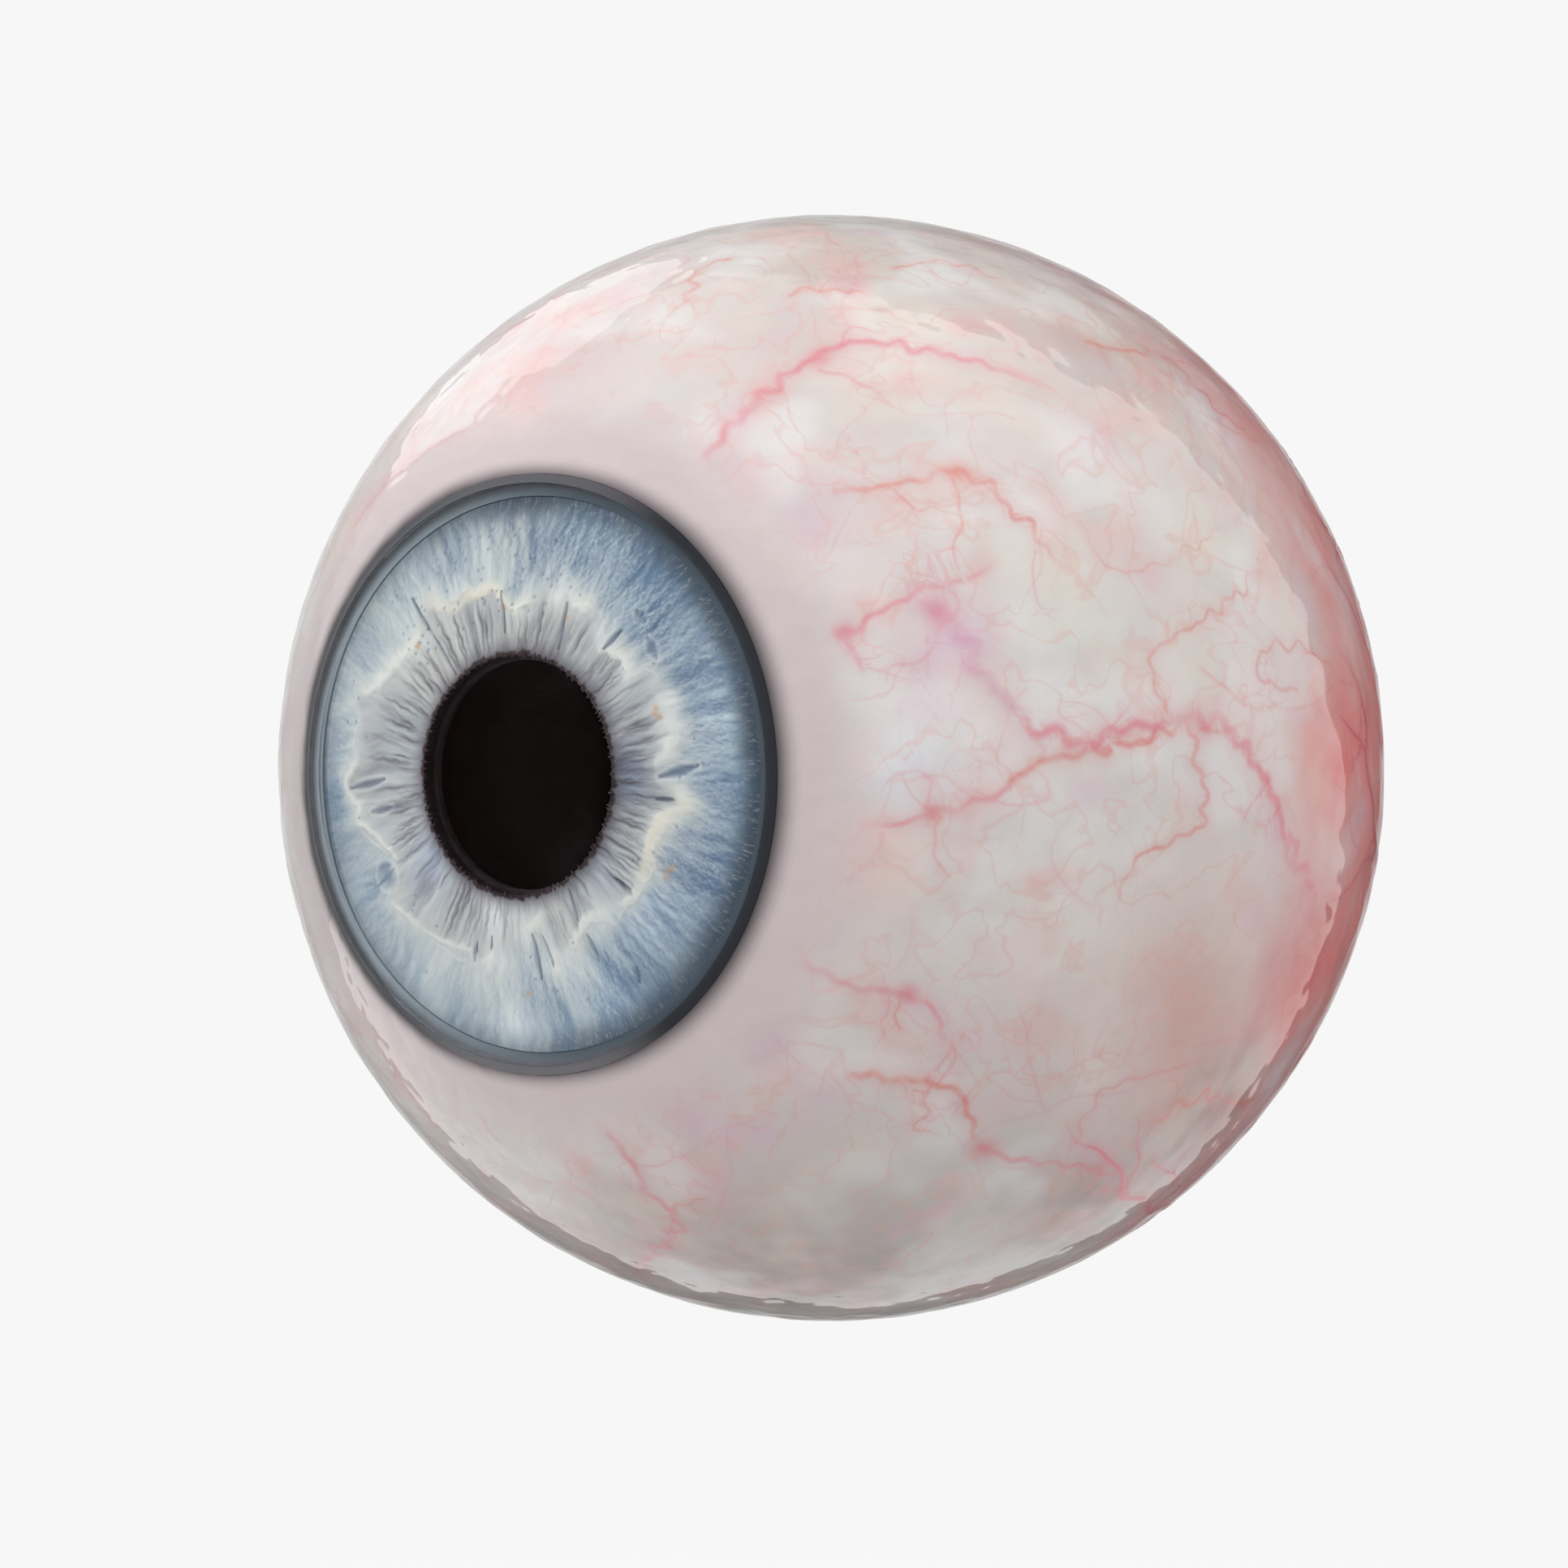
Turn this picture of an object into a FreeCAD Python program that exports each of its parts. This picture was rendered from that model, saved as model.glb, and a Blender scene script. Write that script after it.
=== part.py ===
"""Take-apart eyeball at about five times life size, a left eye, for teaching.

Two nested half globes meet in a plane across the visual axis. The front half holds
the cornea, iris and lens, which come out forwards. The rear half holds the retina and
the cut optic nerve, whose end takes a stand rod. A hollow clear vitreous ball lies
between the halves.

Frame: +Z up, -Y towards the cornea, +X towards the temple. The origin is the mouth of
the stand rod's socket, in the cut end of the nerve. Units are millimetres.

The pieces are drawn about the globe's centre, with the visual axis on Y, and are moved
to the frame when they are written.
"""

import FreeCAD
import Part
import math
import os

# ---- globe and its nested coats, from the outside in ----
GLOBE_RADIUS = 60.0
SCLERA_WALL = 5.0
CHOROID_WALL = 1.4
RETINA_WALL = 1.2
VITREOUS_WALL = 2.0
PARTING_GAP = 0.3        # between coats that slide past each other
BONDED_GAP = 0.2         # glue line between coats of one half
VITREOUS_GAP = 0.4       # round the ball, so that it drops in and out

# ---- seam between the two halves ----
LIP_WALL = 1.4
LIP_LENGTH = 4.0
LIP_CLEARANCE = 0.1
LINING_SETBACK = 0.05    # coats stop this short of the seam plane
MAGNET_RADIUS = 1.0
MAGNET_LENGTH = 4.0
MAGNET_COUNT = 6
POCKET_CLEARANCE = 0.05
PIN_RADIUS = 1.0
PIN_IN_REAR = 4.0
PIN_IN_FRONT = 3.0
PIN_CLEARANCE = 0.06
PIN_ANGLE = 90.0         # degrees round the seam from +X, so the pin is on top

# ---- front opening: limbus ring, cornea and iris ----
LIMBUS_OPENING = 30.0    # bore radius through the front of the sclera
RING_GLUE_GAP = 0.1
CORNEA_SEAT_RADIUS = 29.0
CORNEA_CLEARANCE = 0.1
CORNEA_CURVATURE = 46.0
CORNEA_WALL = 1.6
CORNEA_EDGE_HEIGHT = 1.2  # straight edge of the dome, inside its seat
IRIS_SEAT_RADIUS = 27.6
IRIS_CLEARANCE = 0.2
IRIS_WALL = 1.4
IRIS_RISE = 3.2          # pupil edge stands this far in front of the rim
IRIS_TO_CORNEA = 0.1     # under the plane that the cornea seats on
PIGMENT_WALL = 0.7
PIGMENT_GAP = 0.1
PIGMENT_LEDGE_GAP = 0.08
PUPIL_RADIUS = 11.9
PUPIL_RUFF = 0.5         # pigment layer shows this far inside the pupil edge
RING_CLEAR_RADIUS = 25.8  # lens and zonule pass forwards through this
RING_TAIL = 0.2          # ring stands this far into the globe, past the sclera

# ---- lens and its suspension ----
LENS_RADIUS = 22.0
LENS_FRONT_CURVATURE = 50.0
LENS_REAR_CURVATURE = 30.0
LENS_BEHIND_IRIS = 1.2   # from the back of the pupil edge to the lens's front pole
LENS_EDGE = 2.0
ZONULE_GLUE_GAP = 0.1
ZONULE_SEAT_GAP = 0.3    # its seat is this far behind the lens's edge
ZONULE_HUB_WALL = 0.6
ZONULE_RIM_WALL = 0.6
ZONULE_THICKNESS = 1.5
ZONULE_CLEARANCE = 0.2
ZONULE_FIBRES = 48
ZONULE_FIBRE_WIDTH = 0.7

# ---- ciliary body ----
CILIARY_TO_RING = 0.3
CILIARY_TO_RETINA = 0.1
CILIARY_LEDGE = 1.5
CILIARY_LEDGE_DEPTH = 2.3
CILIARY_PLANA_WALL = 2.6
CILIARY_TO_VITREOUS = 0.6
PROCESS_COUNT = 60
PROCESS_GROOVE_WIDTH = 1.0
PROCESS_GROOVE_DEPTH = 1.3
PROCESS_GROOVE_REACH = 8.5
PROCESS_GROOVE_LEAD = 1.0  # the cutter starts this far inside the ledge

# ---- vitreous ball ----
VITREOUS_JOIN_Y = -10.0
VITREOUS_BEHIND_LENS_EDGE = 3.6
VITREOUS_DISH_GAP = 0.4

# ---- retina details ----
ORA_BEHIND_LENS_EDGE = 13.9  # scalloped front edge of the retina
SCALLOP_COUNT = 24
SCALLOP_RADIUS = 5.0
SCALLOP_DEPTH = 1.8
MACULA_RADIUS = 4.0
MACULA_CLEARANCE = 0.05
MACULA_SETBACK = 0.15
FOVEA_PIT_RADIUS = 2.2
FOVEA_PIT_DEPTH = 0.4

# ---- optic nerve, parallel to the visual axis on the nose side ----
NERVE_OFFSET = 15.0
NERVE_RADIUS = 7.2
SHEATH_WALL = 0.8
COLLAR_WALL = 1.6
COLLAR_LENGTH = 10.0     # past the globe's rear pole
SHEATH_STEP = 4.0        # the sheath shows this far past the collar
NERVE_STEP = 4.0         # and the nerve this far past the sheath
COLLAR_FILLET = 5.0
NERVE_GAP = 0.1
DISC_CUP_RADIUS = 3.2
DISC_CUP_DEPTH = 1.0
VESSEL_RADIUS = 0.7
VESSEL_OFFSET = 6.1      # from the nerve's axis, above and below
VESSEL_STUB = 1.5        # the vessels stand out of the cut end
VESSEL_CLEARANCE = 0.04
ROD_RADIUS = 4.0
BUSH_WALL = 1.0
BUSH_LENGTH = 20.0
BUSH_CLEARANCE = 0.03

# ---- sizes that follow from the ones above ----
SCLERA_INNER = GLOBE_RADIUS - SCLERA_WALL
CHOROID_OUTER = SCLERA_INNER - PARTING_GAP
CHOROID_INNER = CHOROID_OUTER - CHOROID_WALL
RETINA_OUTER = CHOROID_INNER - BONDED_GAP
RETINA_INNER = RETINA_OUTER - RETINA_WALL
VITREOUS_OUTER = RETINA_INNER - VITREOUS_GAP
VITREOUS_INNER = VITREOUS_OUTER - VITREOUS_WALL
LIP_OUTER = SCLERA_INNER + LIP_WALL
SEAM_FACE_MIDDLE = (LIP_OUTER + LIP_CLEARANCE + GLOBE_RADIUS) / 2
NERVE_BORE = NERVE_RADIUS + NERVE_GAP
SHEATH_OUTER = NERVE_BORE + SHEATH_WALL
COLLAR_BORE = SHEATH_OUTER + NERVE_GAP
COLLAR_OUTER = COLLAR_BORE + COLLAR_WALL
COLLAR_END_Y = GLOBE_RADIUS + COLLAR_LENGTH
SHEATH_END_Y = COLLAR_END_Y + SHEATH_STEP
NERVE_END_Y = SHEATH_END_Y + NERVE_STEP
GLOBE_CENTRE = FreeCAD.Vector(NERVE_OFFSET, -NERVE_END_Y, 0)
VISUAL_AXIS = FreeCAD.Vector(0, 1, 0)
TOLERANCE = 0.01


def beside(radius, y):
    """Distance from the axis of a point at y on a sphere about the globe's centre."""
    return math.sqrt(max(radius * radius - y * y, 0.0))


def ahead(radius, across):
    """y of a point at that distance from the axis, on the front of such a sphere."""
    return -beside(radius, across)


CORNEA_SEAT_Y = ahead(GLOBE_RADIUS, CORNEA_SEAT_RADIUS) + CORNEA_EDGE_HEIGHT
CORNEA_EDGE_RADIUS = CORNEA_SEAT_RADIUS - CORNEA_CLEARANCE
CORNEA_EDGE_Y = CORNEA_SEAT_Y - CORNEA_EDGE_HEIGHT
CORNEA_CENTRE_Y = CORNEA_EDGE_Y + beside(CORNEA_CURVATURE, CORNEA_EDGE_RADIUS)
IRIS_RIM_RADIUS = IRIS_SEAT_RADIUS - IRIS_CLEARANCE
IRIS_RIM_Y = CORNEA_SEAT_Y + IRIS_TO_CORNEA
PUPIL_EDGE_Y = IRIS_RIM_Y - IRIS_RISE
# the iris front is a sphere through its rim and the pupil edge
IRIS_RIM_REACH = math.hypot(IRIS_RIM_RADIUS, IRIS_RIM_Y)
PUPIL_REACH = math.hypot(PUPIL_RADIUS, PUPIL_EDGE_Y)
IRIS_CENTRE_Y = (IRIS_RIM_REACH**2 - PUPIL_REACH**2) / (2 * IRIS_RISE)
IRIS_CURVATURE = math.hypot(IRIS_RIM_RADIUS, IRIS_CENTRE_Y - IRIS_RIM_Y)
PIGMENT_FRONT = IRIS_CURVATURE - IRIS_WALL - PIGMENT_GAP
PIGMENT_BACK = PIGMENT_FRONT - PIGMENT_WALL
IRIS_LEDGE_Y = IRIS_CENTRE_Y - beside(PIGMENT_BACK, IRIS_RIM_RADIUS) + PIGMENT_LEDGE_GAP
RING_OUTER = LIMBUS_OPENING - RING_GLUE_GAP
RING_REAR_Y = ahead(SCLERA_INNER, LIMBUS_OPENING) - RING_TAIL
CILIARY_FRONT_Y = RING_REAR_Y + CILIARY_TO_RING
ZONULE_OUTER = RING_CLEAR_RADIUS - PARTING_GAP
ZONULE_SEAT_RADIUS = ZONULE_OUTER + ZONULE_CLEARANCE
PUPIL_BACK_RADIUS = PUPIL_RADIUS - PUPIL_RUFF
PUPIL_BACK_Y = IRIS_CENTRE_Y - beside(PIGMENT_BACK, PUPIL_BACK_RADIUS)
LENS_FRONT_POLE_Y = PUPIL_BACK_Y + LENS_BEHIND_IRIS
LENS_FRONT_CENTRE_Y = LENS_FRONT_POLE_Y + LENS_FRONT_CURVATURE
LENS_SHOULDER_Y = LENS_FRONT_CENTRE_Y - beside(LENS_FRONT_CURVATURE, LENS_RADIUS)
LENS_HEEL_Y = LENS_SHOULDER_Y + LENS_EDGE
LENS_REAR_CENTRE_Y = LENS_HEEL_Y - beside(LENS_REAR_CURVATURE, LENS_RADIUS)
ZONULE_SEAT_Y = LENS_HEEL_Y + ZONULE_SEAT_GAP
ZONULE_REAR_Y = ZONULE_SEAT_Y - LINING_SETBACK
VITREOUS_FRONT_Y = LENS_HEEL_Y + VITREOUS_BEHIND_LENS_EDGE
CILIARY_REAR_Y = VITREOUS_FRONT_Y - CILIARY_TO_VITREOUS
ORA_SERRATA_Y = LENS_HEEL_Y + ORA_BEHIND_LENS_EDGE


# ---- drawing helpers: a profile is points (distance from axis, y) joined in order ----
def point(across, y):
    return FreeCAD.Vector(across, y, 0)


def line(start, end):
    return Part.LineSegment(point(*start), point(*end)).toShape()


def arc(start, end, centre_y):
    """The short arc from start to end of a circle whose centre is on the axis."""
    radius = math.hypot(start[0], start[1] - centre_y)
    angle_start = math.atan2(start[1] - centre_y, start[0])
    angle_end = math.atan2(end[1] - centre_y, end[0])
    middle = (angle_start + angle_end) / 2
    through = (radius * math.cos(middle), centre_y + radius * math.sin(middle))
    return Part.Arc(point(*start), point(*through), point(*end)).toShape()


def turned(edges):
    """A solid made by turning a closed profile about the visual axis."""
    face = Part.Face(Part.Wire(edges))
    solid = face.revolve(FreeCAD.Vector(0, 0, 0), VISUAL_AXIS, 360)
    return solid if solid.Volume > 0 else solid.reversed()


def coat_zone(outer, inner, y_front, y_rear):
    """A band of a spherical coat between two planes across the axis."""
    a, b = (beside(outer, y_front), y_front), (beside(outer, y_rear), y_rear)
    c, d = (beside(inner, y_rear), y_rear), (beside(inner, y_front), y_front)
    return turned([arc(a, b, 0), line(b, c), arc(c, d, 0), line(d, a)])


def coat_bowl(outer, inner, y_front):
    """A spherical coat from a plane across the axis to its rear pole."""
    a, d = (beside(outer, y_front), y_front), (beside(inner, y_front), y_front)
    outer_pole, inner_pole = (0, outer), (0, inner)
    return turned([
        arc(a, outer_pole, 0),
        line(outer_pole, inner_pole),
        arc(inner_pole, d, 0),
        line(d, a),
    ])


def rod(radius, y_start, y_end, x=0.0, z=0.0):
    """A cylinder along the visual axis's direction."""
    return Part.makeCylinder(radius, y_end - y_start, FreeCAD.Vector(x, y_start, z), VISUAL_AXIS)


def nerve_rod(radius, y_start, y_end, rise=0.0):
    return rod(radius, y_start, y_end, -NERVE_OFFSET, rise)


def ball(radius, y=0.0):
    return Part.makeSphere(radius, FreeCAD.Vector(0, y, 0))


def around_seam(angle):
    """x and z of a place on the middle of the seam face."""
    turn = math.radians(angle)
    return SEAM_FACE_MIDDLE * math.cos(turn), SEAM_FACE_MIDDLE * math.sin(turn)


def magnet_row(radius, y_start, y_end):
    """One cylinder at each magnet's place."""
    step = 360.0 / MAGNET_COUNT
    places = [around_seam(step * k) for k in range(MAGNET_COUNT)]
    return Part.makeCompound([rod(radius, y_start, y_end, x, z) for x, z in places])


# ---- rear half ----
def sclera_rear_shell():
    seam_outer, lip_root = (GLOBE_RADIUS, 0), (LIP_OUTER, 0)
    shell = turned([
        arc(seam_outer, (0, GLOBE_RADIUS), 0),
        line((0, GLOBE_RADIUS), (0, SCLERA_INNER)),
        arc((0, SCLERA_INNER), (SCLERA_INNER, 0), 0),
        line((SCLERA_INNER, 0), (SCLERA_INNER, -LIP_LENGTH)),
        line((SCLERA_INNER, -LIP_LENGTH), (LIP_OUTER, -LIP_LENGTH)),
        line((LIP_OUTER, -LIP_LENGTH), lip_root),
        line(lip_root, seam_outer),
    ])
    collar_root_y = beside(SCLERA_INNER + SCLERA_WALL / 2, NERVE_OFFSET + COLLAR_OUTER)
    collar = nerve_rod(COLLAR_OUTER, collar_root_y, COLLAR_END_Y).cut(ball(SCLERA_INNER + SCLERA_WALL / 10))
    whole = shell.fuse(collar)
    whole = whole.makeFillet(COLLAR_FILLET, collar_root_edges(whole))
    whole = whole.cut(nerve_rod(COLLAR_BORE, 0, NERVE_END_Y))
    whole = whole.cut(magnet_row(MAGNET_RADIUS + POCKET_CLEARANCE, 0, MAGNET_LENGTH + POCKET_CLEARANCE))
    x, z = around_seam(PIN_ANGLE)
    return whole.cut(rod(PIN_RADIUS + POCKET_CLEARANCE, 0, PIN_IN_REAR + POCKET_CLEARANCE, x, z))


def collar_root_edges(shape):
    """The edges where the nerve collar meets the globe's outside."""
    found = []
    for edge in shape.Edges:
        middle = (edge.FirstParameter + edge.LastParameter) / 2
        places = [edge.valueAt(edge.FirstParameter), edge.valueAt(middle)]
        on_collar = all(abs(math.hypot(p.x + NERVE_OFFSET, p.z) - COLLAR_OUTER) < TOLERANCE for p in places)
        on_globe = all(abs(p.Length - GLOBE_RADIUS) < TOLERANCE for p in places)
        if on_collar and on_globe:
            found.append(edge)
    return found


def choroid_rear_shell():
    bowl = coat_bowl(CHOROID_OUTER, CHOROID_INNER, LINING_SETBACK)
    return bowl.cut(nerve_rod(NERVE_BORE, 0, NERVE_END_Y))


def retina_rear_cup():
    cup = coat_bowl(RETINA_OUTER, RETINA_INNER, LINING_SETBACK)
    cup = cup.cut(nerve_rod(NERVE_BORE, 0, NERVE_END_Y))
    return cup.cut(rod(MACULA_RADIUS + MACULA_CLEARANCE, 0, NERVE_END_Y))


def macula_inlay():
    """Yellow spot on the visual axis, with the foveal pit."""
    bowl = coat_bowl(RETINA_OUTER - BONDED_GAP, RETINA_INNER + MACULA_SETBACK, 0)
    disc = bowl.common(rod(MACULA_RADIUS, 0, NERVE_END_Y))
    pit_sphere = (FOVEA_PIT_RADIUS**2 + FOVEA_PIT_DEPTH**2) / (2 * FOVEA_PIT_DEPTH)
    pit_y = RETINA_INNER + MACULA_SETBACK - pit_sphere + FOVEA_PIT_DEPTH
    return disc.cut(ball(pit_sphere, pit_y))


def nerve_sheath():
    tube = nerve_rod(SHEATH_OUTER, 0, SHEATH_END_Y).cut(nerve_rod(NERVE_BORE, 0, SHEATH_END_Y))
    return tube.cut(ball(CHOROID_OUTER + BONDED_GAP))


def nerve_core():
    """Nerve fibre bundle; its front is the optic disc, with the central cup."""
    core = nerve_rod(NERVE_RADIUS, 0, NERVE_END_Y).cut(ball(RETINA_INNER))
    cup_sphere = (DISC_CUP_RADIUS**2 + DISC_CUP_DEPTH**2) / (2 * DISC_CUP_DEPTH)
    cup_y = beside(RETINA_INNER, NERVE_OFFSET) - cup_sphere + DISC_CUP_DEPTH
    core = core.cut(Part.makeSphere(cup_sphere, FreeCAD.Vector(-NERVE_OFFSET, cup_y, 0)))
    bush_pocket = ROD_RADIUS + BUSH_WALL + BUSH_CLEARANCE
    core = core.cut(nerve_rod(bush_pocket, NERVE_END_Y - BUSH_LENGTH, NERVE_END_Y))
    for rise in (VESSEL_OFFSET, -VESSEL_OFFSET):
        core = core.cut(nerve_rod(VESSEL_RADIUS + VESSEL_CLEARANCE, 0, NERVE_END_Y, rise))
    return core


def central_vessel(rise):
    return nerve_rod(VESSEL_RADIUS, 0, NERVE_END_Y + VESSEL_STUB, rise).cut(ball(RETINA_INNER))


def stand_rod_bush():
    start = NERVE_END_Y - BUSH_LENGTH
    bush = nerve_rod(ROD_RADIUS + BUSH_WALL, start, NERVE_END_Y)
    return bush.cut(nerve_rod(ROD_RADIUS, start, NERVE_END_Y))


def rear_seam_magnets():
    return magnet_row(MAGNET_RADIUS, POCKET_CLEARANCE, MAGNET_LENGTH)


def locating_pin():
    x, z = around_seam(PIN_ANGLE)
    return rod(PIN_RADIUS, -PIN_IN_FRONT, PIN_IN_REAR, x, z)


# ---- front half ----
def sclera_front_shell():
    seam_outer = (GLOBE_RADIUS, 0)
    mouth = (LIMBUS_OPENING, ahead(GLOBE_RADIUS, LIMBUS_OPENING))
    throat = (LIMBUS_OPENING, ahead(SCLERA_INNER, LIMBUS_OPENING))
    rebate_radius, rebate_y = LIP_OUTER + LIP_CLEARANCE, -LIP_LENGTH - LIP_CLEARANCE
    rebate_root = (beside(SCLERA_INNER, rebate_y), rebate_y)
    shell = turned([
        arc(seam_outer, mouth, 0),
        line(mouth, throat),
        arc(throat, rebate_root, 0),
        line(rebate_root, (rebate_radius, rebate_y)),
        line((rebate_radius, rebate_y), (rebate_radius, 0)),
        line((rebate_radius, 0), seam_outer),
    ])
    shell = shell.cut(magnet_row(MAGNET_RADIUS + POCKET_CLEARANCE, -MAGNET_LENGTH - POCKET_CLEARANCE, 0))
    x, z = around_seam(PIN_ANGLE)
    return shell.cut(rod(PIN_RADIUS + PIN_CLEARANCE, -PIN_IN_FRONT - 2 * PIN_CLEARANCE, 0, x, z))


def choroid_front_shell():
    return coat_zone(CHOROID_OUTER, CHOROID_INNER, ORA_SERRATA_Y, -LINING_SETBACK)


def retina_front_band():
    """Front rim of the retina, scalloped where it ends at the ora serrata."""
    band = coat_zone(RETINA_OUTER, RETINA_INNER, ORA_SERRATA_Y, -LINING_SETBACK)
    cutters = []
    for k in range(SCALLOP_COUNT):
        turn = 2 * math.pi * (k + 0.5) / SCALLOP_COUNT
        outward = FreeCAD.Vector(math.cos(turn), 0, math.sin(turn))
        start = FreeCAD.Vector(0, ORA_SERRATA_Y - SCALLOP_RADIUS + SCALLOP_DEPTH, 0)
        cutters.append(Part.makeCylinder(SCALLOP_RADIUS, GLOBE_RADIUS, start, outward))
    return band.cut(cutters)


def ciliary_body():
    """Muscle ring behind the iris: a thin rear skirt, a thick front with radial folds."""
    plana_inner = CHOROID_OUTER - CILIARY_PLANA_WALL
    rear_y = ORA_SERRATA_Y - CILIARY_TO_RETINA
    outer_rear = (beside(CHOROID_OUTER, rear_y), rear_y)
    outer_front = (beside(CHOROID_OUTER, CILIARY_FRONT_Y), CILIARY_FRONT_Y)
    ledge_inner = ZONULE_SEAT_RADIUS - CILIARY_LEDGE
    ledge_rear_y = ZONULE_SEAT_Y + CILIARY_LEDGE_DEPTH
    fold_end = (beside(plana_inner, CILIARY_REAR_Y), CILIARY_REAR_Y)
    inner_rear = (beside(plana_inner, rear_y), rear_y)
    ring = turned([
        arc(outer_rear, outer_front, 0),
        line(outer_front, (ZONULE_SEAT_RADIUS, CILIARY_FRONT_Y)),
        line((ZONULE_SEAT_RADIUS, CILIARY_FRONT_Y), (ZONULE_SEAT_RADIUS, ZONULE_SEAT_Y)),
        line((ZONULE_SEAT_RADIUS, ZONULE_SEAT_Y), (ledge_inner, ZONULE_SEAT_Y)),
        line((ledge_inner, ZONULE_SEAT_Y), (ledge_inner, ledge_rear_y)),
        line((ledge_inner, ledge_rear_y), fold_end),
        arc(fold_end, inner_rear, 0),
        line(inner_rear, outer_rear),
    ])
    groove_floor_y = min(ledge_rear_y, CILIARY_REAR_Y) - PROCESS_GROOVE_DEPTH
    corner = FreeCAD.Vector(ledge_inner - PROCESS_GROOVE_LEAD, groove_floor_y, -PROCESS_GROOVE_WIDTH / 2)
    grooves = []
    for k in range(PROCESS_COUNT):
        groove = Part.makeBox(PROCESS_GROOVE_REACH, GLOBE_RADIUS, PROCESS_GROOVE_WIDTH)
        groove.translate(corner)
        groove.rotate(FreeCAD.Vector(0, 0, 0), VISUAL_AXIS, 360.0 * (k + 0.5) / PROCESS_COUNT)
        grooves.append(groove)
    return ring.cut(grooves)


def limbus_ring():
    """Dark ring glued into the front of the sclera; the cornea and iris sit in its steps."""
    front_outer = (RING_OUTER, ahead(GLOBE_RADIUS, RING_OUTER))
    front_inner = (CORNEA_SEAT_RADIUS, ahead(GLOBE_RADIUS, CORNEA_SEAT_RADIUS))
    corners = [
        front_inner,
        (CORNEA_SEAT_RADIUS, CORNEA_SEAT_Y),
        (IRIS_SEAT_RADIUS, CORNEA_SEAT_Y),
        (IRIS_SEAT_RADIUS, IRIS_LEDGE_Y),
        (RING_CLEAR_RADIUS, IRIS_LEDGE_Y),
        (RING_CLEAR_RADIUS, RING_REAR_Y),
        (RING_OUTER, RING_REAR_Y),
        front_outer,
    ]
    return turned([line(a, b) for a, b in zip(corners, corners[1:])] + [arc(front_outer, front_inner, 0)])


def front_seam_magnets():
    return magnet_row(MAGNET_RADIUS, -MAGNET_LENGTH, -POCKET_CLEARANCE)


# ---- what comes out forwards ----
def cornea_dome():
    inner_curvature = CORNEA_CURVATURE - CORNEA_WALL
    outer_pole = (0, CORNEA_CENTRE_Y - CORNEA_CURVATURE)
    inner_pole = (0, CORNEA_CENTRE_Y - inner_curvature)
    outer_edge = (CORNEA_EDGE_RADIUS, CORNEA_EDGE_Y)
    heel = (CORNEA_EDGE_RADIUS, CORNEA_SEAT_Y)
    inner_edge = (beside(inner_curvature, CORNEA_SEAT_Y - CORNEA_CENTRE_Y), CORNEA_SEAT_Y)
    return turned([
        arc(outer_edge, outer_pole, CORNEA_CENTRE_Y),
        line(outer_pole, inner_pole),
        arc(inner_pole, inner_edge, CORNEA_CENTRE_Y),
        line(inner_edge, heel),
        line(heel, outer_edge),
    ])


def domed_disc(curvature, wall, hole):
    """A disc dished like the iris, from a hole's radius out to the iris rim."""
    back = curvature - wall
    loop = ((IRIS_RIM_RADIUS, curvature), (hole, curvature), (hole, back), (IRIS_RIM_RADIUS, back))
    corners = [(across, IRIS_CENTRE_Y - beside(radius, across)) for across, radius in loop]
    return turned([
        arc(corners[0], corners[1], IRIS_CENTRE_Y),
        line(corners[1], corners[2]),
        arc(corners[2], corners[3], IRIS_CENTRE_Y),
        line(corners[3], corners[0]),
    ])


def iris_stroma():
    return domed_disc(IRIS_CURVATURE, IRIS_WALL, PUPIL_RADIUS)


def iris_pigment_layer():
    return domed_disc(PIGMENT_FRONT, PIGMENT_WALL, PUPIL_BACK_RADIUS)


def lens_body():
    front_pole, rear_pole = (0, LENS_FRONT_POLE_Y), (0, LENS_REAR_CENTRE_Y + LENS_REAR_CURVATURE)
    shoulder, heel = (LENS_RADIUS, LENS_SHOULDER_Y), (LENS_RADIUS, LENS_HEEL_Y)
    return turned([
        arc(shoulder, front_pole, LENS_FRONT_CENTRE_Y),
        line(front_pole, rear_pole),
        arc(rear_pole, heel, LENS_REAR_CENTRE_Y),
        line(heel, shoulder),
    ])


def zonule_ring():
    """Hub round the lens, rim in the ciliary body, and thin fibres between them."""
    front_y = ZONULE_REAR_Y - ZONULE_THICKNESS
    hub_inner = LENS_RADIUS + ZONULE_GLUE_GAP
    hub_outer = hub_inner + ZONULE_HUB_WALL
    rim_inner = ZONULE_OUTER - ZONULE_RIM_WALL
    hub = rod(hub_outer, front_y, ZONULE_REAR_Y).cut(rod(hub_inner, front_y, ZONULE_REAR_Y))
    rim = rod(ZONULE_OUTER, front_y, ZONULE_REAR_Y).cut(rod(rim_inner, front_y, ZONULE_REAR_Y))
    overlap = ZONULE_HUB_WALL / 3
    fibre_length = rim_inner - hub_outer + 2 * overlap
    corner = FreeCAD.Vector(hub_outer - overlap, front_y + ZONULE_THICKNESS / 4, -ZONULE_FIBRE_WIDTH / 2)
    fibres = []
    for k in range(ZONULE_FIBRES):
        fibre = Part.makeBox(fibre_length, ZONULE_THICKNESS / 2, ZONULE_FIBRE_WIDTH)
        fibre.translate(corner)
        fibre.rotate(FreeCAD.Vector(0, 0, 0), VISUAL_AXIS, 360.0 * k / ZONULE_FIBRES)
        fibres.append(fibre)
    return hub.fuse([rim] + fibres)


# ---- vitreous ball ----
def vitreous_bowl():
    return coat_bowl(VITREOUS_OUTER, VITREOUS_INNER, VITREOUS_JOIN_Y)


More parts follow.
